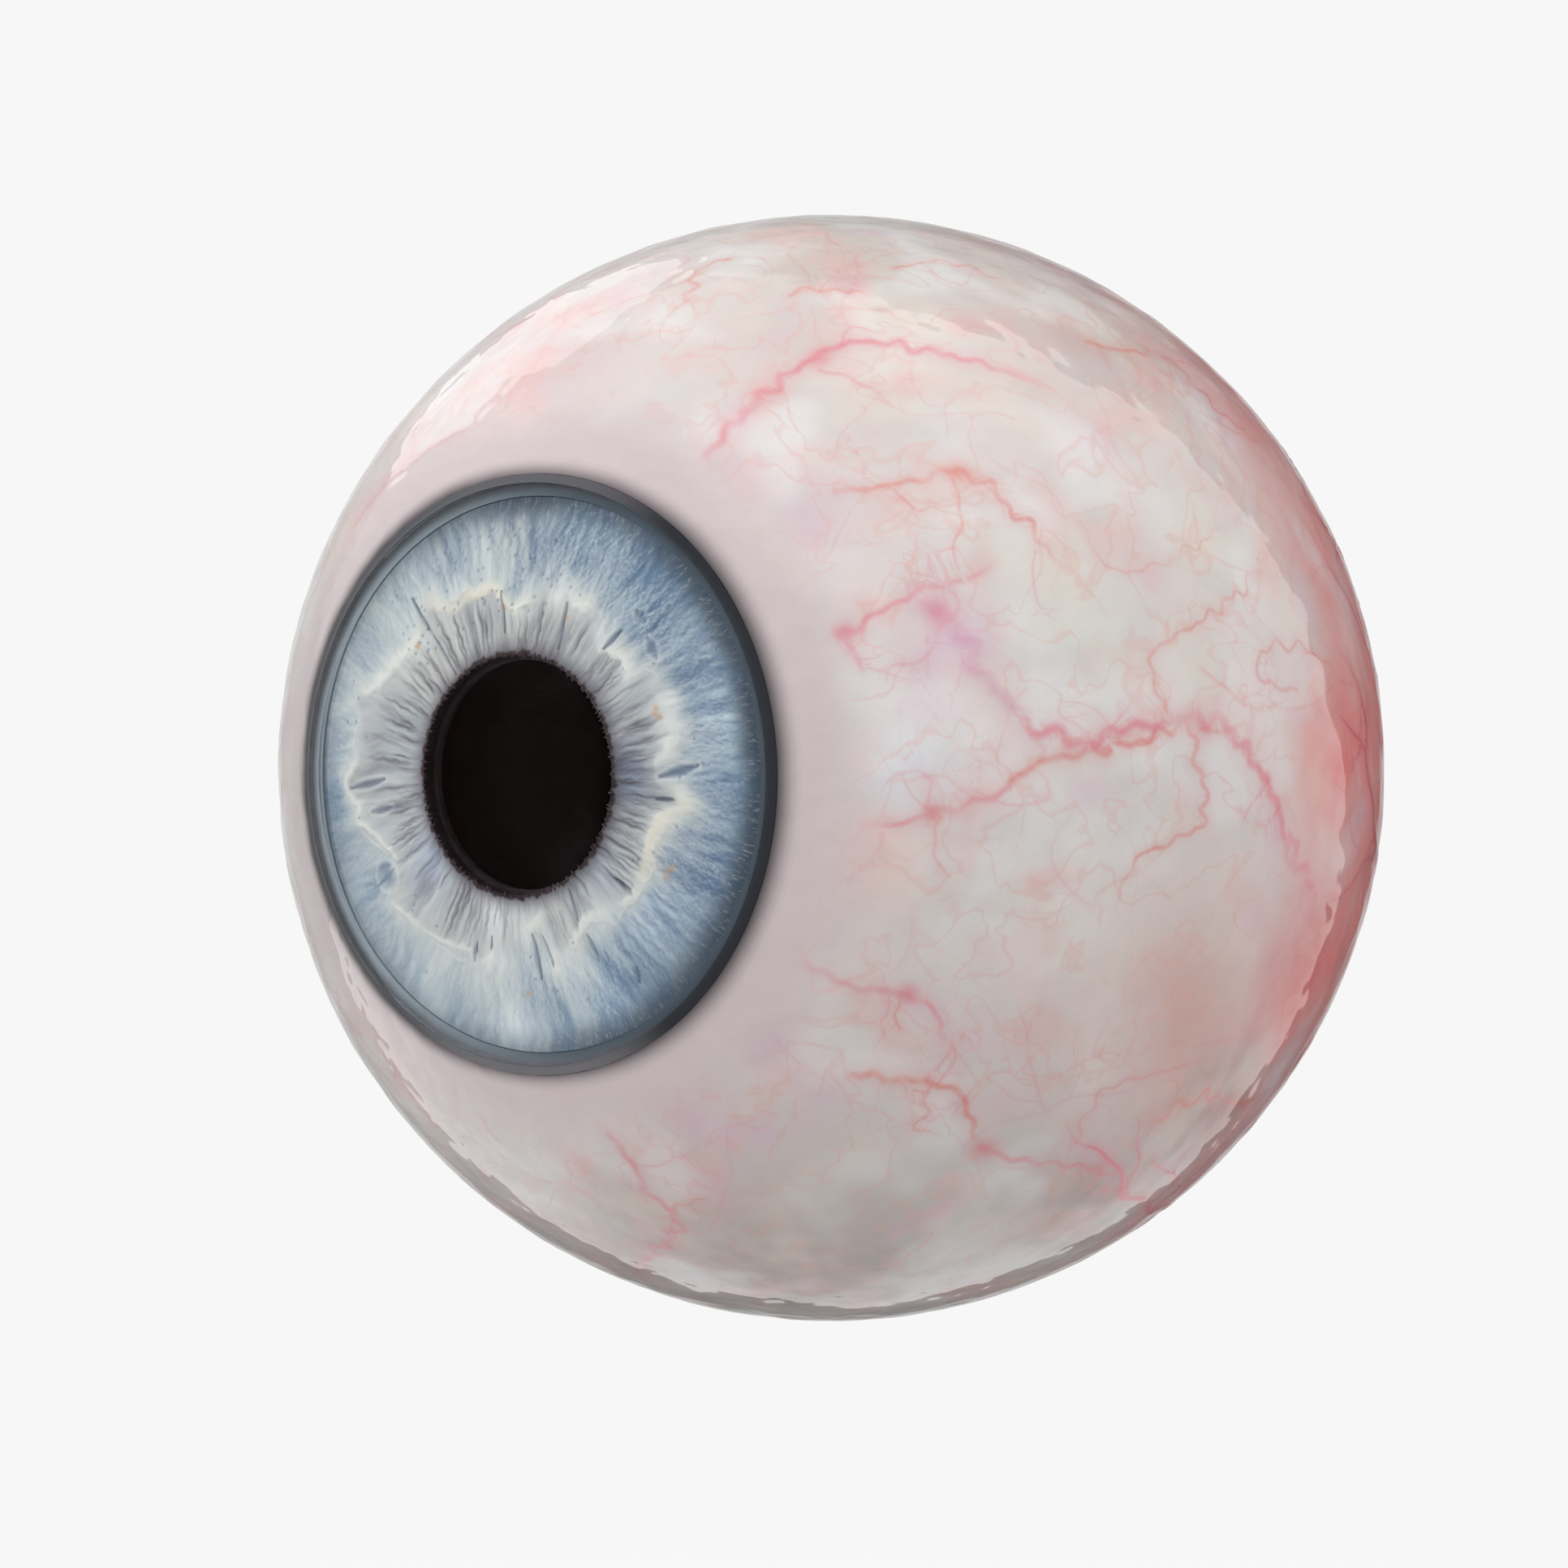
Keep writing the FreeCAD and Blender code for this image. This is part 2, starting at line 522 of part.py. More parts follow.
def vitreous_front_dish():
    """Front moulding of the ball, with the hollow that the lens lies in."""
    dish = LENS_REAR_CURVATURE + VITREOUS_DISH_GAP
    back_y = VITREOUS_FRONT_Y + VITREOUS_WALL
    dish_back = dish + VITREOUS_WALL
    outer_join = (beside(VITREOUS_OUTER, VITREOUS_JOIN_Y), VITREOUS_JOIN_Y)
    outer_front = (beside(VITREOUS_OUTER, VITREOUS_FRONT_Y), VITREOUS_FRONT_Y)
    dish_lip = (beside(dish, VITREOUS_FRONT_Y - LENS_REAR_CENTRE_Y), VITREOUS_FRONT_Y)
    back_lip = (beside(dish_back, back_y - LENS_REAR_CENTRE_Y), back_y)
    inner_front = (beside(VITREOUS_INNER, back_y), back_y)
    inner_join = (beside(VITREOUS_INNER, VITREOUS_JOIN_Y), VITREOUS_JOIN_Y)
    return turned([
        arc(outer_join, outer_front, 0),
        line(outer_front, dish_lip),
        arc(dish_lip, (0, LENS_REAR_CENTRE_Y + dish), LENS_REAR_CENTRE_Y),
        line((0, LENS_REAR_CENTRE_Y + dish), (0, LENS_REAR_CENTRE_Y + dish_back)),
        arc((0, LENS_REAR_CENTRE_Y + dish_back), back_lip, LENS_REAR_CENTRE_Y),
        line(back_lip, inner_front),
        arc(inner_front, inner_join, 0),
        line(inner_join, outer_join),
    ])


PIECES = {
    "sclera_rear_shell": sclera_rear_shell,
    "choroid_rear_shell": choroid_rear_shell,
    "retina_rear_cup": retina_rear_cup,
    "macula_inlay": macula_inlay,
    "nerve_sheath": nerve_sheath,
    "nerve_core": nerve_core,
    "central_retinal_artery": lambda: central_vessel(VESSEL_OFFSET),
    "central_retinal_vein": lambda: central_vessel(-VESSEL_OFFSET),
    "stand_rod_bush": stand_rod_bush,
    "rear_seam_magnets": rear_seam_magnets,
    "locating_pin": locating_pin,
    "sclera_front_shell": sclera_front_shell,
    "choroid_front_shell": choroid_front_shell,
    "retina_front_band": retina_front_band,
    "ciliary_body": ciliary_body,
    "limbus_ring": limbus_ring,
    "front_seam_magnets": front_seam_magnets,
    "cornea_dome": cornea_dome,
    "iris_stroma": iris_stroma,
    "iris_pigment_layer": iris_pigment_layer,
    "lens_body": lens_body,
    "zonule_ring": zonule_ring,
    "vitreous_bowl": vitreous_bowl,
    "vitreous_front_dish": vitreous_front_dish,
}


def main():
    os.makedirs("parts", exist_ok=True)
    for name, make in PIECES.items():
        shape = make()
        shape.translate(GLOBE_CENTRE)
        if not shape.isValid() or shape.Volume <= 0 or not shape.Solids:
            raise ValueError(name + " is not a valid solid")
        print(f"{name}: {len(shape.Solids)} solid, {shape.Volume / 1000:.2f} cm3")
        shape.exportStep(os.path.join("parts", name + ".step"))


main()
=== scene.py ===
"""Looks of the take-apart eye: coats, vessels, iris, clear bodies, nerve and fasteners.

The model is laid out as an add-on and run as a script. Lengths inside the makers are
millimetres about the globe's centre, with the visual axis on Y and the cornea towards
-Y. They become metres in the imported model's frame when a mesh is made.
"""

import math

import bpy
import numpy as np
from bpy.props import FloatProperty, FloatVectorProperty, IntProperty, PointerProperty
from bpy.types import Operator, Panel, PropertyGroup
from mathutils import Matrix, Vector, kdtree, noise


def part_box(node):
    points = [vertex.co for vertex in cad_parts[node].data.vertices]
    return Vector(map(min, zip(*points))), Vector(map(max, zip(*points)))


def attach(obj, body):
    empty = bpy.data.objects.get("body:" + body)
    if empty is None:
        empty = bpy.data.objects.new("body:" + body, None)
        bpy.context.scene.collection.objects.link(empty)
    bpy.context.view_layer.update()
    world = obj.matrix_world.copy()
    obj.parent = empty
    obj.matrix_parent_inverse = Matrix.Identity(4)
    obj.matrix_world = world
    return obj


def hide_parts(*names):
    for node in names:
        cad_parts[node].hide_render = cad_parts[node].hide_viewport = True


bl_info = {
    "name": "Take-apart eye",
    "version": (1, 0, 0),
    "blender": (4, 5, 0),
    "location": "3D View > Sidebar > Eye",
    "description": "Makes the coats, vessels, iris, clear bodies and fasteners of a take-apart eye",
    "category": "Object",
}

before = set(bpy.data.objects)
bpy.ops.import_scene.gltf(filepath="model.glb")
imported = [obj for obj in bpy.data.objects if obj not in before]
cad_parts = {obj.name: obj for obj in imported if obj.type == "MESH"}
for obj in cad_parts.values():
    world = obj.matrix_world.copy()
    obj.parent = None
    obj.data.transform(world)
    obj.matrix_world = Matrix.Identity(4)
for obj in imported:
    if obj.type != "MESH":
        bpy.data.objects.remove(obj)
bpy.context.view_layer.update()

# ---- places taken from the frame ----
MM = 0.001
FRONT_LOW, FRONT_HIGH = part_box("sclera_front_shell")
REAR_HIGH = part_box("sclera_rear_shell")[1]
CENTRE = np.array([(FRONT_LOW.x + FRONT_HIGH.x) / 2, FRONT_HIGH.y, 0.0])
GLOBE_RADIUS = REAR_HIGH.z / MM
NERVE_OFFSET = CENTRE[0] / MM


def along_axis(place):
    """Millimetres from the globe's centre, along the visual axis."""
    return (place.y - CENTRE[1]) / MM


LIMBUS_OPENING = math.sqrt(GLOBE_RADIUS**2 - along_axis(FRONT_LOW) ** 2)
COLLAR_END = along_axis(REAR_HIGH)
CORNEA_POLE = along_axis(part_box("cornea_dome")[0])
CORNEA_SEAT = along_axis(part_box("cornea_dome")[1])
CORNEA_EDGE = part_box("cornea_dome")[1].z / MM
IRIS_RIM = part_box("iris_stroma")[1].z / MM
LENS_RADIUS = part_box("lens_body")[1].z / MM
LENS_FRONT_POLE = along_axis(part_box("lens_body")[0])
LENS_REAR_POLE = along_axis(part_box("lens_body")[1])
ZONULE_FRONT = along_axis(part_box("zonule_ring")[0])
ZONULE_REAR = along_axis(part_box("zonule_ring")[1])
ZONULE_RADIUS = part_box("zonule_ring")[1].z / MM
VITREOUS_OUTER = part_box("vitreous_bowl")[1].z / MM
VITREOUS_JOIN = along_axis(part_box("vitreous_bowl")[0])
VITREOUS_FRONT = along_axis(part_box("vitreous_front_dish")[0])
RETINA_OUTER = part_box("retina_rear_cup")[1].z / MM
MAGNET_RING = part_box("locating_pin")[0].z / MM + 1.0

# ---- walls and curves that the frame's boxes don't show ----
SCLERA_WALL = 5.0
LIP_WALL = 1.4
LIP_LENGTH = 4.0
LIP_CLEARANCE = 0.1
SEAM_RECESS = 0.12        # seam faces lie this far back, so that the magnets show
SEAM_LAND = 0.6           # and touch over this much at the outer edge
PAINT_DEPTH = 0.02        # the lacquer's highest point under the globe's sphere
COLLAR_BORE = 8.2
COLLAR_WALL = 1.6
COLLAR_FILLET = 4.6
CORNEA_CURVATURE = 46.0
CORNEA_WALL = 1.6
CORNEA_EDGE_HEIGHT = 1.2
IRIS_CURVATURE = 97.5
IRIS_CENTRE = 42.35
IRIS_WALL = 1.4
IRIS_LIP = 0.14           # its painted edge hangs this far over the gap to the limbus ring
PUPIL_RADIUS = 11.9
PIGMENT_GAP = 0.1
PIGMENT_WALL = 0.7
PUPIL_RUFF = 0.5
FOLDS_BEHIND = 76         # radial folds on the back of the iris
FOLD_DEPTH = 0.35
LENS_FRONT_CURVATURE = 50.0
LENS_REAR_CURVATURE = 30.0
LENS_EDGE = 2.0
ZONULE_HUB_WALL = 0.6
VITREOUS_WALL = 2.0
VITREOUS_DISH = 30.4
GLUE_GAP = 0.04           # between clear faces that would otherwise lie in one plane
RETINA_WALL = 1.2
RETINA_HOLE = 7.3
RETINA_SETBACK = 0.05
MACULA_RADIUS = 4.0
MACULA_SEAT = 0.3         # the retina is this much thinner under the macula
MAGNET_RADIUS = 1.0
MAGNET_LENGTH = 3.95
MAGNET_COUNT = 6
FOLD_CIRCLE = 28.0        # the ciliary folds lie on a circle of this radius
SMALL_BEVEL = 0.12        # on the magnets and the zonule's rings
SHARP_ANGLE = math.radians(35.0)     # edges that turn by more than this stay sharp
ANY_BEARING = (0, 6.28)   # radians, for random draws

# ---- how the camera sees the eye ----
VIEW_SIDE = 1932.0
VIEW_GLOBE = (1024.6, 946.2)      # where the globe's centre is seen, in pixels
SENSOR = 36.0                     # millimetres
FOCAL_LENGTH = 101.0              # millimetres
VIEW_AZIMUTH = math.radians(34.94)
VIEW_ELEVATION = math.radians(0.9)
VIEW_DISTANCE = 8.0 * GLOBE_RADIUS
TO_CAMERA = Vector((
    math.sin(VIEW_AZIMUTH) * math.cos(VIEW_ELEVATION),
    -math.cos(VIEW_AZIMUTH) * math.cos(VIEW_ELEVATION),
    math.sin(VIEW_ELEVATION),
))
VIEW_RIGHT = Vector((math.cos(VIEW_AZIMUTH), math.sin(VIEW_AZIMUTH), 0.0))
VIEW_UP = TO_CAMERA.cross(VIEW_RIGHT)
PIXELS_PER_SLOPE = FOCAL_LENGTH / SENSOR * VIEW_SIDE


def seen_on(ball_radius, ball_centre, pixel):
    """Where the camera's ray through a pixel first meets a ball centred on the visual axis."""
    across = (pixel[0] - VIEW_GLOBE[0]) / PIXELS_PER_SLOPE
    down = (pixel[1] - VIEW_GLOBE[1]) / PIXELS_PER_SLOPE
    ray = (VIEW_RIGHT * across - VIEW_UP * down - TO_CAMERA).normalized()
    start = TO_CAMERA * VIEW_DISTANCE - Vector((0.0, ball_centre, 0.0))
    along = start.dot(ray)
    room = max(along * along - start.length_squared + ball_radius * ball_radius, 0.0)
    return start + ray * (-along - math.sqrt(room)) + Vector((0.0, ball_centre, 0.0))


# ---- colours are written as screen values from 0 to 255 ----
def screen(red, green, blue):
    return np.array([red, green, blue]) / 255.0


def to_linear(values):
    values = np.asarray(values, float)
    return np.where(values <= 0.04045, values / 12.92, ((values + 0.055) / 1.055) ** 2.4)


def swatch(red, green, blue):
    """A screen colour in the linear values that properties and sockets take."""
    return tuple(float(v) for v in to_linear(screen(red, green, blue)))


def written(colour):
    """A property's colour back on the screen scale from 0 to 1."""
    values = np.array(colour[:3])
    return np.where(values <= 0.0031308, values * 12.92, 1.055 * values ** (1 / 2.4) - 0.055)


# ---- settings a user would change ----
class EyeSizes(PropertyGroup):
    relief_depth: FloatProperty(
        name="Lacquer relief", description="Half the depth of the lacquer's waves, in mm",
        default=0.12, min=0.0)
    vessel_scale: FloatProperty(
        name="Vessel width", description="Width of the vessels drawn on the front, as a factor",
        default=1.0, min=0.1)
    capillary_count: IntProperty(
        name="Capillaries", description="Fine vessels grown over the white of the eye", default=560, min=0)
    collarette_height: FloatProperty(
        name="Collarette height", description="How far the zigzag ridge stands up, in mm",
        default=0.32, min=0.0)
    fibre_count: IntProperty(
        name="Iris fibres", description="Pale fibres drawn on the outer iris", default=1500, min=0)
    zonule_count: IntProperty(
        name="Zonule fibres", description="Fibres that hold the lens", default=132, min=3)
    fold_count: IntProperty(
        name="Ciliary folds", description="Radial folds of the ciliary body", default=60, min=3)
    ruff_count: IntProperty(
        name="Pupil beads", description="Beads of pigment round the pupil", default=190, min=3)
    seed: IntProperty(name="Seed", description="Start of the random draws", default=7)


def colour_setting(name, description, red, green, blue):
    return FloatVectorProperty(name=name, description=description, subtype="COLOR", size=3,
                               default=swatch(red, green, blue), min=0.0, max=1.0)


class EyeColours(PropertyGroup):
    sclera: colour_setting("Sclera", "White of the eye", 221, 211, 208)
    limbus_zone: colour_setting("Limbus zone", "Calm grey-pink band round the iris", 209, 194, 196)
    posterior: colour_setting("Posterior", "Red paint at the back of the globe", 238, 96, 94)
    vessel_red: colour_setting("Red vessels", "Orange-red vessel paint", 222, 118, 106)
    vessel_pink: colour_setting("Pink vessels", "Pink vessel paint", 224, 124, 138)
    vessel_lilac: colour_setting("Lilac vessels", "Soft lilac vessel paint", 214, 150, 178)
    limbus: colour_setting("Limbus", "Charcoal ring round the iris", 40, 42, 48)
    iris_blue: colour_setting("Iris blue", "Depth colour of the outer iris", 84, 108, 140)
    iris_pale: colour_setting("Iris fibres", "Pale fibres of the iris", 212, 220, 222)
    collarette: colour_setting("Collarette", "Cream zigzag ridge", 236, 235, 226)
    ruff: colour_setting("Pupil margin", "Dark red-brown edge of the pupil", 40, 20, 22)
    retina: colour_setting("Retina", "Orange-red inner coat", 214, 118, 84)
    choroid: colour_setting("Choroid", "Dark vascular coat", 104, 42, 34)
    ciliary: colour_setting("Ciliary body", "Brown muscle ring", 112, 66, 54)
    artery: colour_setting("Artery", "Central artery", 188, 18, 24)
    vein: colour_setting("Vein", "Central vein", 44, 62, 142)
    nerve: colour_setting("Nerve", "Nerve fibre bundles", 232, 208, 150)
    sheath: colour_setting("Nerve sheath", "Sheath round the nerve", 214, 182, 168)
    brass: colour_setting("Brass", "Stand rod bush", 196, 158, 84)


class EyeStudio(PropertyGroup):
    background: FloatProperty(
        name="Background", description="Brightness of the pale background", default=0.93, min=0.0, max=1.0)
    fill: FloatProperty(
        name="Fill", description="Light from all round", default=0.90, min=0.0)
    key: FloatProperty(
        name="Key lamp", description="Power of the soft lamp, in watts", default=1.2, min=0.0)
    rim: FloatProperty(
        name="Rim lamp", description="Power of the lamp behind the top, in watts", default=0.16, min=0.0)
    floor_drop: FloatProperty(
        name="Floor", description="Height of the floor under the globe's centre",
        default=-0.16, unit="LENGTH")


# ---- meshes ----
def circle(count):
    turn = np.linspace(0.0, 2.0 * math.pi, count, endpoint=False)
    return np.cos(turn), np.sin(turn)


def unit(values):
    """Values cut off below 0 and above 1."""
    return np.clip(values, 0.0, 1.0)


def eased(share):
    """A share from 0 to 1 that starts and ends gently."""
    return share * share * (3 - 2 * share)


def bell(distance, width):
    """1 at no distance, falling off smoothly within about that width."""
    return np.exp(-((distance / width) ** 2))


def beside(radius, y):
    return math.sqrt(max(radius * radius - y * y, 0.0))


def run(start, end, count):
    """Evenly spaced profile points (distance from axis, y), without the last."""
    return np.linspace(start, end, count, endpoint=False)


def runs(*corners_and_counts):
    """Straight stretches through corners, each corner but the last with its count of points."""
    corners, counts = corners_and_counts[::2], corners_and_counts[1::2]
    return np.concatenate([run(*stretch) for stretch in zip(corners, corners[1:], counts)])


def arc(centre_y, start, end, count):
    """Profile points along an arc about a place on the axis, without the last."""
    radius = math.hypot(start[0], start[1] - centre_y)
    first = math.atan2(start[1] - centre_y, start[0])
    last = math.atan2(end[1] - centre_y, end[0])
    angle = np.linspace(first, last, count, endpoint=False)
    return np.stack([radius * np.cos(angle), centre_y + radius * np.sin(angle)], axis=1)


def turned(profile, around):
    """Rings of points made by turning a profile about the visual axis."""
    across, high = circle(around)
    r, y = profile[:, 0, None], profile[:, 1, None]
    return np.stack([r * across, y + 0 * across, r * high], axis=2)


def skin(name, rings, poles=None):
    """A closed mesh over rings of points. The last ring joins the first, or both end in a pole."""
    count, around = rings.shape[:2]
    index = np.arange(count * around).reshape(count, around)
    beyond = np.roll(index, -1, axis=1)
    points = rings.reshape(-1, 3)
    if poles is None:
        quads = np.stack([index, beyond, np.roll(beyond, -1, axis=0), np.roll(index, -1, axis=0)], axis=2)
        caps = np.zeros((0, 3), int)
    else:
        quads = np.stack([index[:-1], beyond[:-1], beyond[1:], index[1:]], axis=2)
        first, last = len(points), len(points) + 1
        start_cap = np.stack([beyond[0], index[0], np.full(around, first)], axis=1)
        end_cap = np.stack([index[-1], beyond[-1], np.full(around, last)], axis=1)
        caps = np.concatenate([start_cap, end_cap])
        points = np.concatenate([points, poles])
    quads = quads.reshape(-1, 4)
    triangles = np.concatenate([quads[:, [0, 1, 2]], quads[:, [0, 2, 3]], caps])
    a, b, c = (points[triangles[:, k]] for k in range(3))
    if np.einsum("ij,ij->i", a, np.cross(b, c)).sum() < 0:
        quads, caps = quads[:, ::-1], caps[:, ::-1]
    mesh = bpy.data.meshes.new(name)
    mesh.from_pydata((points * MM + CENTRE).tolist(), [], quads.tolist() + caps.tolist())
    finish_mesh(mesh)
    return mesh


def finish_mesh(mesh):
    mesh.validate()
    mesh.shade_smooth()
    mesh.set_sharp_from_angle(angle=SHARP_ANGLE)


def lathe(name, profile, around):
    """A turned solid. A profile that starts and ends on the axis gets poles there."""
    profile = np.asarray(profile, float)
    if profile[0][0] > 1e-6:
        return skin(name, turned(profile, around))
    poles = np.array([[0.0, profile[0][1], 0.0], [0.0, profile[-1][1], 0.0]])
    return skin(name, turned(profile[1:-1], around), poles)


def paint(mesh, name, kind, values):
    """Stores one value, vector or colour for each point."""
    field = {"FLOAT": "value", "FLOAT_VECTOR": "vector", "FLOAT_COLOR": "color"}[kind]
    layer = mesh.attributes.new(name, kind, "POINT")
    layer.data.foreach_set(field, np.ascontiguousarray(values, np.float32).ravel())


def with_alpha(colours):
    return np.concatenate([colours, np.ones((len(colours), 1))], axis=1)


def place_piece(name, mesh, material, body, slot, *nodes):
    """Puts a finished mesh in the scene, on its body and in its node's stead."""
    piece = bpy.data.objects.new(name, mesh)
    bpy.context.scene.collection.objects.link(piece)
    if material.name not in [m.name for m in mesh.materials if m]:
        mesh.materials.clear()
        mesh.materials.append(material)
    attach(piece, body)
    if nodes:
        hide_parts(*nodes)


def coat_node(name, material):
    """Gives a node that keeps its own shape its finish."""
    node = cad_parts[name]
    for slot in node.material_slots:
        slot.material = material


# ---- node helpers ----
def feed(tree, node, inputs):
    for key, value in inputs.items():
        socket = node.inputs[key]
        if isinstance(value, bpy.types.NodeSocket):
            tree.links.new(value, socket)
        else:
            socket.default_value = value
    return node


def add_node(tree, kind, inputs=None, **settings):
    node = tree.nodes.new(kind)
    for name, value in settings.items():
        setattr(node, name, value)
    return feed(tree, node, inputs or {})


def shade(tree, kind, inputs=None, **settings):
    return add_node(tree, "ShaderNode" + kind, inputs, **settings)


def maths(tree, operation, *values):
    node = shade(tree, "Math", operation=operation)
    return feed(tree, node, dict(enumerate(values))).outputs[0]


def times(tree, first, second):
    return maths(tree, "MULTIPLY", first, second)


def plus(tree, first, second):
    return maths(tree, "ADD", first, second)


def minus(tree, first, second):
    return maths(tree, "SUBTRACT", first, second)


def vector_maths(tree, operation, *values):
    node = shade(tree, "VectorMath", operation=operation)
    feed(tree, node, dict(enumerate(values)))
    return node.outputs["Value" if operation in ("LENGTH", "DOT_PRODUCT") else "Vector"]


def scaled(tree, vector, factor):
    return shade(tree, "VectorMath", {0: vector, "Scale": factor}, operation="SCALE").outputs["Vector"]


def soft_step(tree, value, low, high, bottom=0.0, top=1.0):
    """Rises smoothly from bottom to top as the value goes from low to high."""
    inputs = {"Value": value, "From Min": low, "From Max": high, "To Min": bottom, "To Max": top}
    return shade(tree, "MapRange", inputs, interpolation_type="SMOOTHSTEP").outputs["Result"]


def mixed(tree, amount, first, second):
    node = shade(tree, "Mix", data_type="RGBA")
    return feed(tree, node, {0: amount, 6: first, 7: second}).outputs[2]


def cloud(tree, place, size, detail=3.0, roughness=0.5, distortion=0.0):
    """Smooth noise whose patches are about that many millimetres across."""
    inputs = {"Vector": place, "Scale": 1.0 / size, "Detail": detail,
              "Roughness": roughness, "Distortion": distortion}
    return shade(tree, "TexNoise", inputs).outputs["Fac"]


def object_place(tree):
    """Object coordinates in millimetres."""
    return scaled(tree, shade(tree, "TexCoord").outputs["Object"], 1000.0)


def attribute(tree, name):
    return shade(tree, "Attribute", attribute_name=name)


def across_y(tree, place):
    """Distance of a place from the Y axis, with its two parts."""
    parts = shade(tree, "SeparateXYZ", {0: place})
    x, z = parts.outputs[0], parts.outputs[2]
    squares = plus(tree, times(tree, x, x), times(tree, z, z))
    return maths(tree, "SQRT", squares), x, z


def axis_radius(tree):
    """Distance from the visual axis in mm, with its two parts."""
    return across_y(tree, vector_maths(tree, "SUBTRACT", object_place(tree), tuple(CENTRE / MM)))


def shift_place(tree, place, amount):
    return vector_maths(tree, "ADD", place, (amount, amount * 0.7, -amount))


def rgba(colour):
    return (*colour[:3], 1.0)


def bumped(tree, height, distance):
    """A normal from a height from 0 to 1, that many millimetres deep."""
    node = shade(tree, "Bump", {"Height": height, "Distance": distance * MM, "Strength": 1.0})
    return node.outputs["Normal"]


def new_material(name):
    material = bpy.data.materials.new(name)
    material.use_nodes = True
    tree = material.node_tree
    tree.nodes.clear()
    surface = shade(tree, "BsdfPrincipled")
    output = shade(tree, "OutputMaterial")
    tree.links.new(surface.outputs[0], output.inputs["Surface"])
    return material, tree, surface, output


# ---- shader groups shared by several finishes ----
def new_group(name, inputs, outputs, kind="ShaderNodeTree"):
    group = bpy.data.node_groups.new(name, kind)
    for way, sockets in (("INPUT", inputs), ("OUTPUT", outputs)):
        for label, socket_kind in sockets:
            group.interface.new_socket(label, in_out=way, socket_type="NodeSocket" + socket_kind)
    entry = group.nodes.new("NodeGroupInput")
    leave = group.nodes.new("NodeGroupOutput")
    return group, entry.outputs, leave


def use_group(tree, name, inputs):
    node = shade(tree, "Group", node_tree=bpy.data.node_groups[name])
    return feed(tree, node, inputs).outputs


def make_clouding_group():
    """Patches of a second colour laid over a first."""
    group, given, leave = new_group(
        "clouding",
        [("Place", "Vector"), ("Colour", "Color"), ("Patch Colour", "Color"), ("Size", "Float"),
         ("Offset", "Float"), ("Low", "Float"), ("High", "Float"), ("Amount", "Float")],
        [("Colour", "Color")])
    away = shade(group, "CombineXYZ", {0: given["Offset"], 1: given["Offset"], 2: given["Offset"]})
    place = vector_maths(group, "ADD", given["Place"], away.outputs[0])
    size = maths(group, "DIVIDE", 1.0, given["Size"])
    patches = shade(group, "TexNoise", {"Vector": place, "Scale": size, "Detail": 2.0,
                                        "Roughness": 0.40, "Distortion": 0.12})
    mask = soft_step(group, patches.outputs["Fac"], given["Low"], given["High"])
    mask = times(group, mask, given["Amount"])
    feed(group, leave, {"Colour": mixed(group, mask, given["Colour"], given["Patch Colour"])})


def make_vessel_group():
    """How much of a painted vessel shows, from the way and the distance to its middle line."""
    group, given, leave = new_group(
        "vessel_lines",
        [("Place", "Vector"), ("To Line", "Vector"), ("Distance", "Float"), ("Half Width", "Float"),
         ("Strength", "Float"), ("Spacing", "Float"), ("Waver", "Float")],
        [("Mask", "Float"), ("Halo", "Float")])
    near = vector_maths(group, "LENGTH", given["To Line"])
    floor = minus(group, given["Distance"], given["Spacing"])
    near = maths(group, "MAXIMUM", near, floor)
    rough = cloud(group, given["Place"], 0.9, 3.0, 0.6)
    rough = times(group, minus(group, rough, 0.5), given["Waver"])
    rough = times(group, rough, given["Half Width"])
    near = plus(group, near, rough)
    outer = times(group, given["Half Width"], 1.9)
    mask = soft_step(group, near, 0.0, outer, 1.0, 0.0)
    fade = cloud(group, shift_place(group, given["Place"], 31.0), 4.5, 3.0, 0.6)
    fade = soft_step(group, fade, 0.30, 0.62, 0.35, 1.0)
    mask = times(group, times(group, mask, given["Strength"]), fade)
    wide = plus(group, times(group, given["Half Width"], 5.0), 0.4)
    halo = soft_step(group, near, 0.0, wide, 1.0, 0.0)
    halo = times(group, halo, given["Strength"])
    feed(group, leave, {"Mask": mask, "Halo": halo})


def make_wear_group():
    """Fine marks of handling, as a height and a roughness."""
    group, given, leave = new_group(
        "handling",
        [("Place", "Vector"), ("Grain", "Float"), ("Low", "Float"), ("High", "Float")],
        [("Height", "Float"), ("Roughness", "Float")])
    streaked = vector_maths(group, "MULTIPLY", given["Place"], (1.0, 0.25, 1.0))
    size = maths(group, "DIVIDE", 1.0, given["Grain"])
    fine = shade(group, "TexNoise", {"Vector": streaked, "Scale": size, "Detail": 5.0, "Roughness": 0.65})
    smear = cloud(group, given["Place"], 7.0, 4.0, 0.6)
    amount = times(group, fine.outputs["Fac"], smear)
    feed(group, leave, {"Height": fine.outputs["Fac"],
                        "Roughness": soft_step(group, amount, 0.1, 0.45, given["Low"], given["High"])})


def clouded(tree, place, colour, patch, size, offset, low, high, amount):
    """A colour with patches of a second one, about that many mm across."""
    return use_group(tree, "clouding", {
        "Place": place, "Colour": colour, "Patch Colour": patch, "Size": size, "Offset": offset,
        "Low": low, "High": high, "Amount": amount})["Colour"]


def handled(tree, place, grain, low, high):
    """Height and roughness of a surface that has been handled."""
    return use_group(tree, "handling", {"Place": place, "Grain": grain, "Low": low, "High": high})


